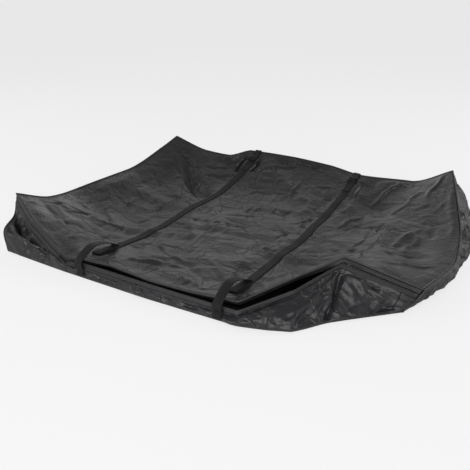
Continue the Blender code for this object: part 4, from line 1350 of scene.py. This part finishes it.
@dataclass
class Maker:
    """Turns grids of points into pieces that ride on the bag."""

    body: str = BODY

    def mesh_piece(self, name: str, points: Array, faces: list[list[int]], flat: Array,
                   material: bpy.types.Material, smooth: bool = True) -> bpy.types.Object:
        """Make one piece from points and faces.

        Args:
            name: the piece's name.
            points: its points, in metres.
            faces: the point numbers of each face.
            flat: the cloth's flat coordinates of each point.
            material: its finish.
            smooth: whether it is shaded smooth.

        Returns:
            The new object, riding on the bag.
        """
        mesh = bpy.data.meshes.new(name)
        mesh.from_pydata(points.tolist(), [], faces)
        layer = mesh.uv_layers.new(name="cloth")
        corners = np.empty(len(mesh.loops), dtype=np.int32)
        mesh.loops.foreach_get("vertex_index", corners)
        layer.data.foreach_set("uv", flat[corners].astype(np.float32).ravel())
        mesh.polygons.foreach_set("use_smooth", [smooth] * len(mesh.polygons))
        mesh.materials.append(material)
        made = bpy.data.objects.new(name, mesh)
        bpy.context.scene.collection.objects.link(made)
        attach(made, self.body)
        return made

    def sheet(self, name: str, grid: Array, thickness: float,
              material: bpy.types.Material) -> bpy.types.Object:
        """A cloth sheet: the grid given a thickness, half to each side, with a closed rim.

        Args:
            name: the piece's name.
            grid: the points of the sheet's middle surface.
            thickness: the cloth's thickness, in metres.
            material: its finish.

        Returns:
            The new object, riding on the bag.
        """
        rows, columns = grid.shape[:2]
        grid = grid.copy()
        grid[..., 2] = np.maximum(grid[..., 2], thickness / 2)
        lift = grid_normals(grid) * thickness / 2
        points = np.vstack([(grid + lift).reshape(-1, 3), (grid - lift).reshape(-1, 3)])
        flat = np.stack([arc_lengths(grid, 0), arc_lengths(grid, 1)], axis=-1).reshape(-1, 2)
        number = np.arange(rows * columns).reshape(rows, columns)
        cells = np.stack([number[:-1, :-1], number[1:, :-1], number[1:, 1:], number[:-1, 1:]], axis=-1)
        cells = cells.reshape(-1, 4)
        rim = np.concatenate([number[0, :-1], number[:-1, -1], number[-1, :0:-1], number[:0:-1, 0]])
        after = np.roll(rim, -1)
        under = rows * columns
        band = np.stack([rim, after, after + under, rim + under], axis=1)
        faces = np.vstack([cells, cells[:, ::-1] + under, band])
        return self.mesh_piece(name, points, faces.tolist(), np.vstack([flat, flat]), material)

    def tube(self, name: str, path: Array, radius: float, material: bpy.types.Material,
             closed: bool = False, sides: int = 10) -> bpy.types.Object:
        """A round cord along a path, carried along without a twist where it is open.

        Args:
            name: the piece's name.
            path: the places along the cord's middle.
            radius: the cord's radius, in metres.
            material: its finish.
            closed: whether the cord meets its own start.
            sides: how many sides the cord has.

        Returns:
            The new object, riding on the bag.
        """
        if closed:
            steps = np.roll(path, -1, axis=0) - np.roll(path, 1, axis=0)
        else:
            steps = np.gradient(path, axis=0)
        tangents = unit(steps)
        side = np.cross(tangents[0], UP)
        angles = 2 * math.pi * np.arange(sides) / sides
        rings = []
        for place, tangent in zip(path, tangents):
            if closed:
                side = np.cross(tangent, UP)
            side = unit(side - (side @ tangent) * tangent)
            above = np.cross(side, tangent)
            round_way = np.cos(angles)[:, None] * side + np.sin(angles)[:, None] * above
            rings.append(place + radius * round_way)
        return self.rings(name, np.array(rings), material, closed)

    def rings(self, name: str, rings: Array, material: bpy.types.Material,
              closed: bool = False) -> bpy.types.Object:
        """A solid skin through a row of rings with the same number of points.

        Args:
            name: the piece's name.
            rings: the points of each ring.
            material: its finish.
            closed: whether the last ring meets the first.

        Returns:
            The new object, riding on the bag.
        """
        count, corners = rings.shape[:2]
        number = np.arange(count * corners).reshape(count, corners)
        following = np.roll(number, -1, axis=0) if closed else number[1:]
        here = number if closed else number[:-1]
        bands = [here, np.roll(here, -1, axis=1), np.roll(following, -1, axis=1), following]
        faces = np.stack(bands, axis=-1).reshape(-1, 4).tolist()
        if not closed:
            faces.append(number[0, ::-1].tolist())
            faces.append(number[-1].tolist())
        centres = rings.mean(axis=1)
        along = np.concatenate([[0], np.cumsum(np.linalg.norm(np.diff(centres, axis=0), axis=1))])
        round_part = np.broadcast_to(np.arange(corners) * 0.001, (count, corners))
        flat = np.stack([np.broadcast_to(along[:, None], (count, corners)), round_part], axis=-1)
        return self.mesh_piece(name, rings.reshape(-1, 3), faces, flat.reshape(-1, 2), material)


def trimmed(profiles: Array, first: float = SEAM_HALF, last: float = SEAM_HALF) -> Array:
    """The profiles with both end ones moved in along the wall, for the corner seams.

    Args:
        profiles: cross-sections, one row for each place along the seam.
        first, last: how far the first and the last one move, in metres.

    Returns:
        The moved cross-sections.
    """
    moved = np.array(profiles)
    for here, beside, reach in ((0, 1, first), (-1, -2, last)):
        steps = profiles[beside] - profiles[here]
        lengths = np.linalg.norm(steps, axis=-1, keepdims=True)
        moved[here] = profiles[here] + steps * np.minimum(reach / np.maximum(lengths, 1e-9), 0.8)
    return moved


@dataclass
class ClothPanels:
    """The lid, the four walls and the base, with the piping and binding that join them."""

    lid: LidSurface
    shell: ShellSurface
    finishes: Finishes
    maker: Maker

    def build(self) -> list[bpy.types.Object]:
        """Build and dress every panel.

        Returns:
            The new pieces.
        """
        made = [self.lid_panel(), *self.walls(), self.base_panel(), self.base_binding()]
        made += [self.lid_piping(), *self.corner_piping()]
        return made

    def lid_panel(self) -> bpy.types.Object:
        """The lid, held back from the seam by the piping.

        Returns:
            The new object.
        """
        grid = self.lid.grid.copy()
        grid[0] += SEAM_HALF * unit(self.lid.grid[1] - self.lid.grid[0])
        grid[-1] += SEAM_HALF * unit(self.lid.grid[-2] - self.lid.grid[-1])
        grid[:, 0] += SEAM_HALF * unit(self.lid.grid[:, 1] - self.lid.grid[:, 0])
        grid[:, -1] += SEAM_HALF * unit(self.lid.grid[:, -2] - self.lid.grid[:, -1])
        made = self.maker.sheet("lid_cloth", grid, CLOTH, self.finishes.cloth)
        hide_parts("lid_panel")
        return made

    def walls(self) -> list[bpy.types.Object]:
        """The four walls.

        Returns:
            The new objects.
        """
        made = []
        for side, first, last, flat in ((Side.FRONT, SEAM_HALF, SEAM_HALF, (1.10, 0.135)),
                                        (Side.RIGHT, SEAM_HALF, CORNER_HALF, (0.92, 0.140)),
                                        (Side.BACK, CORNER_HALF, CORNER_HALF, (1.10, 0.150)),
                                        (Side.LEFT, CORNER_HALF, SEAM_HALF, (0.92, 0.155))):
            grid = trimmed(self.shell.profiles[side], first, last)
            grid = self.pleated(grid, 200 + list(Side).index(side))
            piece = self.maker.sheet(f"{side.value}_wall_cloth", grid, CLOTH, self.finishes.cloth)
            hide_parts(f"{side.value}_wall")
            made.append(piece)
        return made

    def pleated(self, grid: Array, seed: int) -> Array:
        """A wall on a grid twice as fine, with the small pleats of pressed cloth.

        Args:
            grid: the wall's grid of points.
            seed: the number that the pleats start from.

        Returns:
            The finer grid of points.
        """
        for axis in (0, 1):
            count = grid.shape[axis]
            before = np.take(grid, range(count - 1), axis)
            after = np.take(grid, range(1, count), axis)
            finer = np.stack([before, (before + after) / 2], axis=axis + 1)
            shape = list(grid.shape)
            shape[axis] = 2 * (count - 1)
            finer = finer.reshape(shape)
            grid = np.concatenate([finer, np.take(grid, [count - 1], axis)], axis)
        along, down = arc_lengths(grid, 0), arc_lengths(grid, 1)
        pleats = Creases(count=340, lengths=(0.018, 0.060), height=0.0030,
                         widths=(0.004, 0.012), seed=seed, turn=1.5, spread=0.7)
        heights = pleats.heights(along, down)
        edge = np.minimum(np.minimum(along, along[-1:] - along), down)
        fade = smooth_step(edge, 0.0, 0.008) * (1 - smooth_step(-grid[..., 2], -0.014, -0.006))
        raised = grid + (fade * heights)[..., None] * grid_normals(grid)
        raised[..., 2] = np.maximum(raised[..., 2], BASE_CLOTH / 2)
        return raised

    def base_edge(self, inset: float) -> dict[Side, Array]:
        """The line of the base seam on each side, moved in by an inset."""
        return {side: self.shell.ground[side] - (UNDER_RUN + inset) * self.shell.outward[side]
                for side in Side}

    def base_panel(self) -> bpy.types.Object:
        """The flat base panel, stretched between the four base seams.

        Returns:
            The new object.
        """
        edge = self.base_edge(SEAM_HALF)
        front, back = edge[Side.FRONT][:, None], edge[Side.BACK][::-1][:, None]
        right, left = edge[Side.RIGHT][None], edge[Side.LEFT][::-1][None]
        u = np.linspace(0, 1, len(front))[:, None, None]
        v = np.linspace(0, 1, right.shape[1])[None, :, None]
        grid = (1 - v) * front + v * back + (1 - u) * left + u * right
        grid = grid - (1 - u) * (1 - v) * front[0, 0] - u * (1 - v) * front[-1, 0]
        grid = grid - (1 - u) * v * back[0, 0] - u * v * back[-1, 0]
        grid[..., 2] = BASE_CLOTH / 2
        made = self.maker.sheet("base_cloth_panel", grid[::3, ::3].copy(),
                                BASE_CLOTH, self.finishes.base)
        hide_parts("base_panel")
        return made

    def base_binding(self) -> bpy.types.Object:
        """The flat tape over the seam between the walls and the base.

        Returns:
            The new object.
        """
        reach = SEAM_HALF - SEAM_GAP
        inner = self.shell.loop(self.base_edge(reach))
        outer = self.shell.loop(self.base_edge(-reach))
        rings = []
        for first, second in zip(inner, outer):
            ring = [(first, 0.0002), (second, 0.0002), (second, BASE_CLOTH), (first, BASE_CLOTH)]
            rings.append([[place[0], place[1], height] for place, height in ring])
        made = self.maker.rings("base_seam_tape", np.array(rings), self.finishes.binding,
                                closed=True)
        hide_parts("base_seam_binding")
        return made

    def lid_piping(self) -> bpy.types.Object:
        """The piping round the lid's edge.

        Returns:
            The new object.
        """
        path = self.shell.loop(self.shell.seams)
        made = self.maker.tube("lid_edge_piping", path, PIPING_RADIUS, self.finishes.binding,
                               closed=True)
        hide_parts("lid_piping")
        return made

    def corner_piping(self) -> list[bpy.types.Object]:
        """The piping down each upright corner seam.

        Returns:
            The new objects.
        """
        made = []
        for name, side, end in (("front_left", Side.LEFT, -1), ("front_right", Side.RIGHT, 0),
                                ("back_right", Side.BACK, 0), ("back_left", Side.BACK, -1)):
            path = self.shell.profiles[side][end][3:-3].copy()
            path[:, 2] = np.maximum(path[:, 2], CORNER_RADIUS + SEAM_GAP)
            piece = self.maker.tube(f"corner_cord_{name}", path, CORNER_RADIUS,
                                    self.finishes.binding)
            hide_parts(f"corner_piping_{name}")
            made.append(piece)
        return made


@dataclass
class FrontZip:
    """The two zip tapes with their teeth, and the painted sliders."""

    shell: ShellSurface
    finishes: Finishes
    maker: Maker
    tooth_pitch: float = 0.0030

    def build(self, nodes: dict[str, bpy.types.Object]) -> list[bpy.types.Object]:
        """Build the tapes and teeth and dress the sliders.

        Args:
            nodes: the bag's solids.

        Returns:
            The new pieces.
        """
        parts = self.shell.stations[Side.FRONT]
        share = self.shell.mouth_share(parts)[:, None]
        hanging = np.array([0.0, 0.60, -0.80])
        standing = np.array([0.0, 0.30, 0.95])
        upper = unit((1 - share) * self.shell.down + share * hanging)
        lower = unit((1 - share) * -self.shell.down + share * standing)
        made = []
        for which, starts, directions, near in (
                ("upper", self.shell.seams[Side.FRONT], upper, SEAM_HALF),
                ("lower", self.shell.lip, lower, TAPE_HINGE)):
            made.append(self.tape(which, starts, directions, near))
            made.append(self.teeth(which, starts, directions, near + TAPE_WIDTH + COIL_GAP))
        for hand in Hand:
            nodes[f"zip_slider_{hand.label}"].data.materials[0] = self.finishes.metal
            nodes[f"zip_pull_{hand.label}"].data.materials[0] = self.finishes.plastic
        return made

    def tape(self, which: str, starts: Array, directions: Array, near: float) -> bpy.types.Object:
        """One zip tape beside its edge.

        Args:
            which: "upper" or "lower".
            starts: places on the edge that the tape is sewn to.
            directions: the way that the tape runs from each place.
            near: how far from the edge the tape shows, in metres.

        Returns:
            The new object.
        """
        inner = near - SEAM_GAP if which == "upper" else SEAM_GAP
        steps = np.linspace(inner, near + TAPE_WIDTH + COIL_GAP + COIL / 2, 6)
        grid = trimmed(starts[:, None] + steps[None, :, None] * directions[:, None])
        made = self.maker.sheet(f"zip_ribbon_{which}", grid, TAPE_THICKNESS,
                                self.finishes.ribbon)
        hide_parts(f"zip_tape_{which}")
        return made

    def teeth(self, which: str, starts: Array, directions: Array, near: float) -> bpy.types.Object:
        """The coil's core cord with a row of teeth along it.

        Args:
            which: "upper" or "lower".
            starts: places on the edge that the tape is sewn to.
            directions: the way that the tape runs from each place.
            near: how far from the edge the teeth begin, in metres.

        Returns:
            The new object.
        """
        line = trimmed((starts + (near + COIL / 2) * directions)[:, None])[:, 0]
        along = np.concatenate([[0], np.cumsum(np.linalg.norm(np.diff(line, axis=0), axis=1))])
        shift = 0.25 if which == "upper" else 0.75
        stations = np.arange(shift * self.tooth_pitch, along[-1], self.tooth_pitch)
        places = np.stack([np.interp(stations, along, line[:, k]) for k in range(3)], axis=-1)
        pointing = np.stack([np.interp(stations, along, directions[:, k]) for k in range(3)], axis=-1)
        pointing = unit(pointing)
        tangents = unit(np.gradient(places, axis=0))
        normals = unit(np.cross(tangents, pointing))
        points, faces = [], []
        half = np.array([0.30 * self.tooth_pitch, COIL / 2, COIL / 2])
        corners = [(-1, -1, -1), (1, -1, -1), (1, 1, -1), (-1, 1, -1),
                   (-0.7, -1, 1), (0.7, -1, 1), (0.7, 0.8, 1), (-0.7, 0.8, 1)]
        box = [(0, 3, 2, 1), (4, 5, 6, 7), (0, 1, 5, 4), (1, 2, 6, 5), (2, 3, 7, 6), (3, 0, 4, 7)]
        for place, tangent, direction, normal in zip(places, tangents, pointing, normals):
            first = len(points)
            for i, j, k in corners:
                sideways = i * half[0] * tangent
                inward, above = j * half[1] * direction, k * half[2] * normal
                points.append(place + sideways + inward + above)
            faces += [[first + n for n in face] for face in box]
        core = len(points)
        ring_angles = 2 * math.pi * np.arange(6) / 6
        for place, tangent, direction, normal in zip(places, tangents, pointing, normals):
            middle = place - 0.25 * COIL * direction
            for angle in ring_angles:
                round_way = math.cos(angle) * direction + math.sin(angle) * normal
                points.append(middle + CORD_SHARE * COIL * round_way)
        for row in range(len(places) - 1):
            for k in range(6):
                a = core + row * 6 + k
                b = core + row * 6 + (k + 1) % 6
                faces.append([a, b, b + 6, a + 6])
        faces.append([core + k for k in range(5, -1, -1)])
        faces.append([core + (len(places) - 1) * 6 + k for k in range(6)])
        made = self.maker.mesh_piece(f"zip_teeth_{which}", np.array(points), faces,
                                     np.zeros((len(points), 2)), self.finishes.coil, smooth=False)
        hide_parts(f"zip_coil_{which}")
        return made


@dataclass
class Strap:
    """One webbing strap over the lid, and the anchor webbing behind its buckle."""

    hand: Hand
    lid: LidSurface
    shell: ShellSurface
    finishes: Finishes
    maker: Maker
    edge_distance: float = 0.042
    across_count: int = 7
    middle_count: int = 190
    tail_count: int = 16

    def __post_init__(self) -> None:
        """Work out the layers and the buckle's place."""
        self.centre = self.hand.value * STRAP_OFFSET
        half = WEB_WIDTH / 2
        self.edges = np.linspace(self.centre - half, self.centre + half, self.across_count)
        self.on_lid = CLOTH / 2 + LAYER_GAP + WEB_THICKNESS / 2
        self.second = self.on_lid + WEB_THICKNESS + LAYER_GAP
        self.bar_height = self.second + WEB_THICKNESS / 2 + LAYER_GAP + BAR / 2
        self.turn = BAR / 2 * math.sqrt(2) + WEB_THICKNESS / 2 + 2 * LAYER_GAP
        backs = rail(BACK_EDGE, np.array([self.edges[0], self.edges[-1]]) / HALF_LENGTH)
        self.anchor_y = float(backs[:, 1].min()) - self.edge_distance

    def lid_point(self, edge: float, forward: float, height: float) -> Array:
        """A point above the lid, from the anchor bar forward."""
        point, normal = self.lid.on_column(edge, self.anchor_y - forward)
        return point[0] + height * normal[0]

    def buckle_places(self) -> list[tuple[float, float]]:
        """Forward and height of the strap through the buckle.

        Returns:
            Distance forward of the anchor bar and height over the lid, in metres.
        """
        turns = [(2 * BAR_PITCH + 0.004, self.on_lid), (BAR_PITCH + 0.002, self.on_lid),
                 (BAR_PITCH - 0.0014, self.on_lid + 0.0002),
                 (BAR_PITCH - self.turn + 0.0003, self.on_lid + 0.0020)]
        for angle in range(180, -1, -30):
            across = self.turn * math.cos(math.radians(angle))
            above = self.turn * math.sin(math.radians(angle))
            turns.append((BAR_PITCH + across, self.bar_height + above))
        turns.append((BAR_PITCH + self.turn + 0.0006, self.second + 0.0010))
        turns.append((BAR_PITCH + self.turn + 0.0030, self.second))
        return [tuple(place) for place in curve(np.array(turns), 52)]

    def front_end(self, edge: float) -> tuple[Array, float]:
        """Places from the front wall up over the mouth and into the slack folds.

        Args:
            edge: the line of the webbing, along the bag.

        Returns:
            The places, and how far forward of the anchor the folds end.
        """
        part = (edge / HALF_LENGTH + 1) / 2 * (self.lid.column_count - 1)
        column = int(round(part))
        wall = self.shell.profiles[Side.FRONT]
        normals = grid_normals(wall[column - 1:column + 2])[1]
        if normals[4, 1] > 0:
            normals = -normals
        lift = CLOTH / 2 + LAYER_GAP + WEB_THICKNESS / 2
        levels = np.linspace(self.shell.levels, 0.4 * self.shell.levels, 12).astype(int)
        shift = np.array([edge - wall[column, 0, 0], 0.0, 0.0])
        on_wall = wall[column, levels] + 1.6 * lift * normals[levels] + shift
        seam = self.lid.on_column(edge, self.lid.grid[column, 0, 1])[0][0]
        lip = self.shell.lip[column] + shift
        first = self.anchor_y - (seam[1] + 0.048)
        second = self.anchor_y - (seam[1] + 0.125)
        free = [on_wall[-1],
                lip + np.array([0.0, -0.0070, 0.0050]),
                lip + np.array([0.0, -0.0085, 0.0140]),
                lip + np.array([0.0, -0.0030, 0.0230]),
                seam + np.array([0.0, -0.0030, 0.0120]),
                seam + np.array([0.0, 0.0150, 0.0210]),
                seam + np.array([0.0, 0.0450, 0.0270]),
                self.lid_point(edge, second + 0.035, 0.0240),
                self.lid_point(edge, second + 0.006, 0.0130),
                self.lid_point(edge, second, 0.0088),
                self.lid_point(edge, second + 0.006, 0.0056),
                self.lid_point(edge, second + 0.030, 0.0052),
                self.lid_point(edge, first - 0.008, 0.0052),
                self.lid_point(edge, first + 0.001, 0.0036),
                self.lid_point(edge, first - 0.006, self.on_lid)]
        return np.vstack([on_wall[:-1], curve(np.array(free), 84)]), first - 0.008

    def build(self) -> list[bpy.types.Object]:
        """Build the strap and its anchor webbing.

        Returns:
            The strap and the anchor webbing.
        """
        strap = self.maker.sheet(f"webbing_strap_{self.hand.label}", self.strap_grid(),
                                 WEB_THICKNESS, self.finishes.webbing)
        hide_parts(f"strap_{self.hand.label}")
        anchor = self.maker.sheet(f"webbing_anchor_{self.hand.label}", self.anchor_grid(),
                                  WEB_THICKNESS, self.finishes.webbing)
        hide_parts(f"strap_anchor_{self.hand.label}")
        return [strap, anchor]

    def sway(self, forward: float, start: float) -> float:
        """How far the strap lies off its straight line, between its folds and the buckle.

        Args:
            forward: how far forward of the anchor bar the place is.
            start: how far forward the straight run begins.

        Returns:
            A distance along the bag, in metres.
        """
        part = (forward - 3 * BAR_PITCH) / (start - 3 * BAR_PITCH)
        if not 0 < part < 1:
            return 0.0
        wave = math.sin(13.0 * part + self.hand.value) + 0.6 * math.sin(27.0 * part)
        return 0.0026 * wave * min(1.0, 6 * part, 6 * (1 - part))

    def strap_grid(self) -> Array:
        """The whole strap, from the front wall to the tail's end.

        Returns:
            The grid of points: along the strap, then across it.
        """
        lines = []
        for edge in self.edges:
            head, start = self.front_end(edge)
            run = np.linspace(start - 0.008, 2 * BAR_PITCH + 0.006, self.middle_count)
            middle = []
            for forward in run:
                line = edge + self.sway(forward, start)
                middle.append(self.lid_point(line, forward, self.on_lid))
            tail = [self.lid_point(edge, f, h) for f, h in self.buckle_places()]
            end = 2 * BAR_PITCH + TAIL_LENGTH
            run = np.linspace(2 * BAR_PITCH + 0.004, end, self.tail_count)
            tail += [self.lid_point(edge, f, self.second) for f in run]
            lines.append(np.vstack([head, middle, tail]))
        return np.stack(lines, axis=1)

    def anchor_grid(self) -> Array:
        """The short webbing from the back wall around the buckle's rear bar.

        Returns:
            The grid of points: along the webbing, then across it.
        """
        back_wall = self.shell.profiles[Side.BACK]
        lift = CLOTH / 2 + LAYER_GAP + WEB_THICKNESS / 2
        clear = PIPING_RADIUS + WEB_THICKNESS / 2 + 3 * LAYER_GAP
        lines = []
        for edge in self.edges:
            column = int(round((1 - edge / HALF_LENGTH) / 2 * (self.lid.column_count - 1)))
            normals = grid_normals(back_wall[column - 1:column + 2])[1]
            if normals[4, 1] < 0:
                normals = -normals
            shift = np.array([edge - back_wall[column, 0, 0], 0.0, 0.0])
            levels = np.linspace(0.8 * self.shell.levels, 0.2 * self.shell.levels, 10).astype(int)
            wall = back_wall[column, levels] + 1.6 * lift * normals[levels] + shift
            seam = self.shell.seams[Side.BACK][column] + shift
            loop = []
            for angle in range(90, -91, -15):
                forward = self.turn * math.cos(math.radians(angle))
                above = self.turn * math.sin(math.radians(angle))
                loop.append(self.lid_point(edge, forward, self.bar_height + above))
            turns = [wall[-1],
                     seam + clear * unit(np.array([0.0, 0.9, 0.45])),
                     seam + clear * unit(np.array([0.0, 0.1, 1.0])),
                     self.lid_point(edge, -ANCHOR_OVERLAP, self.second + 0.0012),
                     self.lid_point(edge, -0.5 * ANCHOR_OVERLAP, self.second + 0.0014),
                     self.lid_point(edge, -0.0050, self.bar_height + self.turn - 0.0012),
                     *loop,
                     self.lid_point(edge, -0.0025, self.on_lid + 0.0010),
                     self.lid_point(edge, -0.0060, self.on_lid + 0.0006),
                     self.lid_point(edge, -ANCHOR_OVERLAP, self.on_lid)]
            lines.append(np.vstack([wall[:-1], curve(np.array(turns), 96)]))
        return np.stack(lines, axis=1)


@dataclass
class Studio:
    """The pale floor, the soft lamps and the camera at the photograph's angle."""

    camera_place: tuple[float, float, float] = (0.79, -1.45, 0.71)
    turn_degrees: float = 29.6
    tilt_degrees: float = 24.1
    lens: float = 42.43
    floor_half: float = 60.0
    horizon: float = 1.42
    zenith: float = 0.30
    fall: float = 2.0
    edge_light: float = 0.55

    def build(self) -> None:
        """Make the floor, the world, the lamps and the camera."""
        self.floor()
        self.world()
        self.lamp("left_panel", (-2.6, -0.7, 1.5), 2.6, 15.0)
        self.lamp("right_panel", (2.2, 1.8, 1.7), 1.6, 18.0)
        self.lamp("front_panel", (0.9, -3.0, 1.0), 3.8, 96.0)
        self.camera()

    def floor(self) -> None:
        """The white floor under the bag."""
        half = self.floor_half
        mesh = bpy.data.meshes.new("floor")
        corners = [(-half, -half, 0), (half, -half, 0), (half, half, 0), (-half, half, 0)]
        mesh.from_pydata(corners, [], [(0, 1, 2, 3)])
        mesh.materials.append(StudioFloor().build())
        floor = bpy.data.objects.new("floor", mesh)
        floor.location.z = -0.0005
        bpy.context.scene.collection.objects.link(floor)

    def world(self) -> None:
        """Soft light, brightest low behind and before the bag, and white to the camera."""
        world = bpy.data.worlds.new("studio")
        world.use_nodes = True
        graph = NodeGraph(world.node_tree)
        direction = graph.node("ShaderNodeTexCoord", out="Generated")
        turn = math.radians(self.turn_degrees)
        left = (-math.cos(turn), -math.sin(turn), 0.0)
        sideways = graph.vector("DOT_PRODUCT", direction, left, out="Value").absolute()
        lowness = (1 - graph.part(direction, 2).absolute()).power(self.fall)
        rise = lowness * (self.horizon - self.zenith) + self.zenith
        light = rise * graph.span(sideways, (0.0, 0.45), (1.0, self.edge_light))
        seen = graph.node("ShaderNodeLightPath", out="Is Camera Ray")
        strength = graph.node("ShaderNodeMix", {}, {0: seen, 2: light, 3: 1.0})
        background = world.node_tree.nodes["Background"]
        background.inputs["Color"].default_value = (1, 1, 1, 1)
        graph.feed(background.inputs["Strength"], strength)
        bpy.context.scene.world = world

    def lamp(self, name: str, place: tuple[float, float, float], size: float, power: float) -> None:
        """A square soft lamp that faces the bag.

        Args:
            name: the lamp's name.
            place: where it stands, in metres.
            size: the length of its sides, in metres.
            power: its power, in watts.
        """
        light = bpy.data.lights.new(name, "AREA")
        light.size = size
        light.energy = power
        lamp = bpy.data.objects.new(name, light)
        lamp.location = place
        direction = -np.array(place)
        bpy.context.scene.collection.objects.link(lamp)
        lamp.rotation_mode = "QUATERNION"
        lamp.rotation_quaternion = Vector(direction.tolist()).to_track_quat("-Z", "Y")

    def camera(self) -> None:
        """The camera."""
        data = bpy.data.cameras.new("camera")
        data.lens = self.lens
        data.sensor_width = 36.0
        camera = bpy.data.objects.new("camera", data)
        camera.location = self.camera_place
        camera.rotation_euler = (math.radians(90 - self.tilt_degrees), 0.0,
                                 math.radians(self.turn_degrees))
        bpy.context.scene.collection.objects.link(camera)
        bpy.context.scene.camera = camera
        bpy.context.scene.view_settings.view_transform = "Standard"


def main() -> None:
    """Build every sub-assembly in order and report each piece."""
    logging.basicConfig(level=logging.INFO, format="%(name)s: %(message)s")
    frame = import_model()
    lid = LidSurface()
    shell = ShellSurface(lid)
    finishes = Finishes()
    maker = Maker()
    made = ClothPanels(lid, shell, finishes, maker).build()
    made += FrontZip(shell, finishes, maker).build(frame["nodes"])
    for hand in Hand:
        made += Strap(hand, lid, shell, finishes, maker).build()
        frame["nodes"][f"buckle_{hand.label}"].data.materials[0] = finishes.plastic
    Studio().build()
    for piece in made:
        mesh = piece.data
        LOG.info("%s: %d points, %d faces", piece.name, len(mesh.vertices), len(mesh.polygons))


if __name__ == "__main__":
    main()
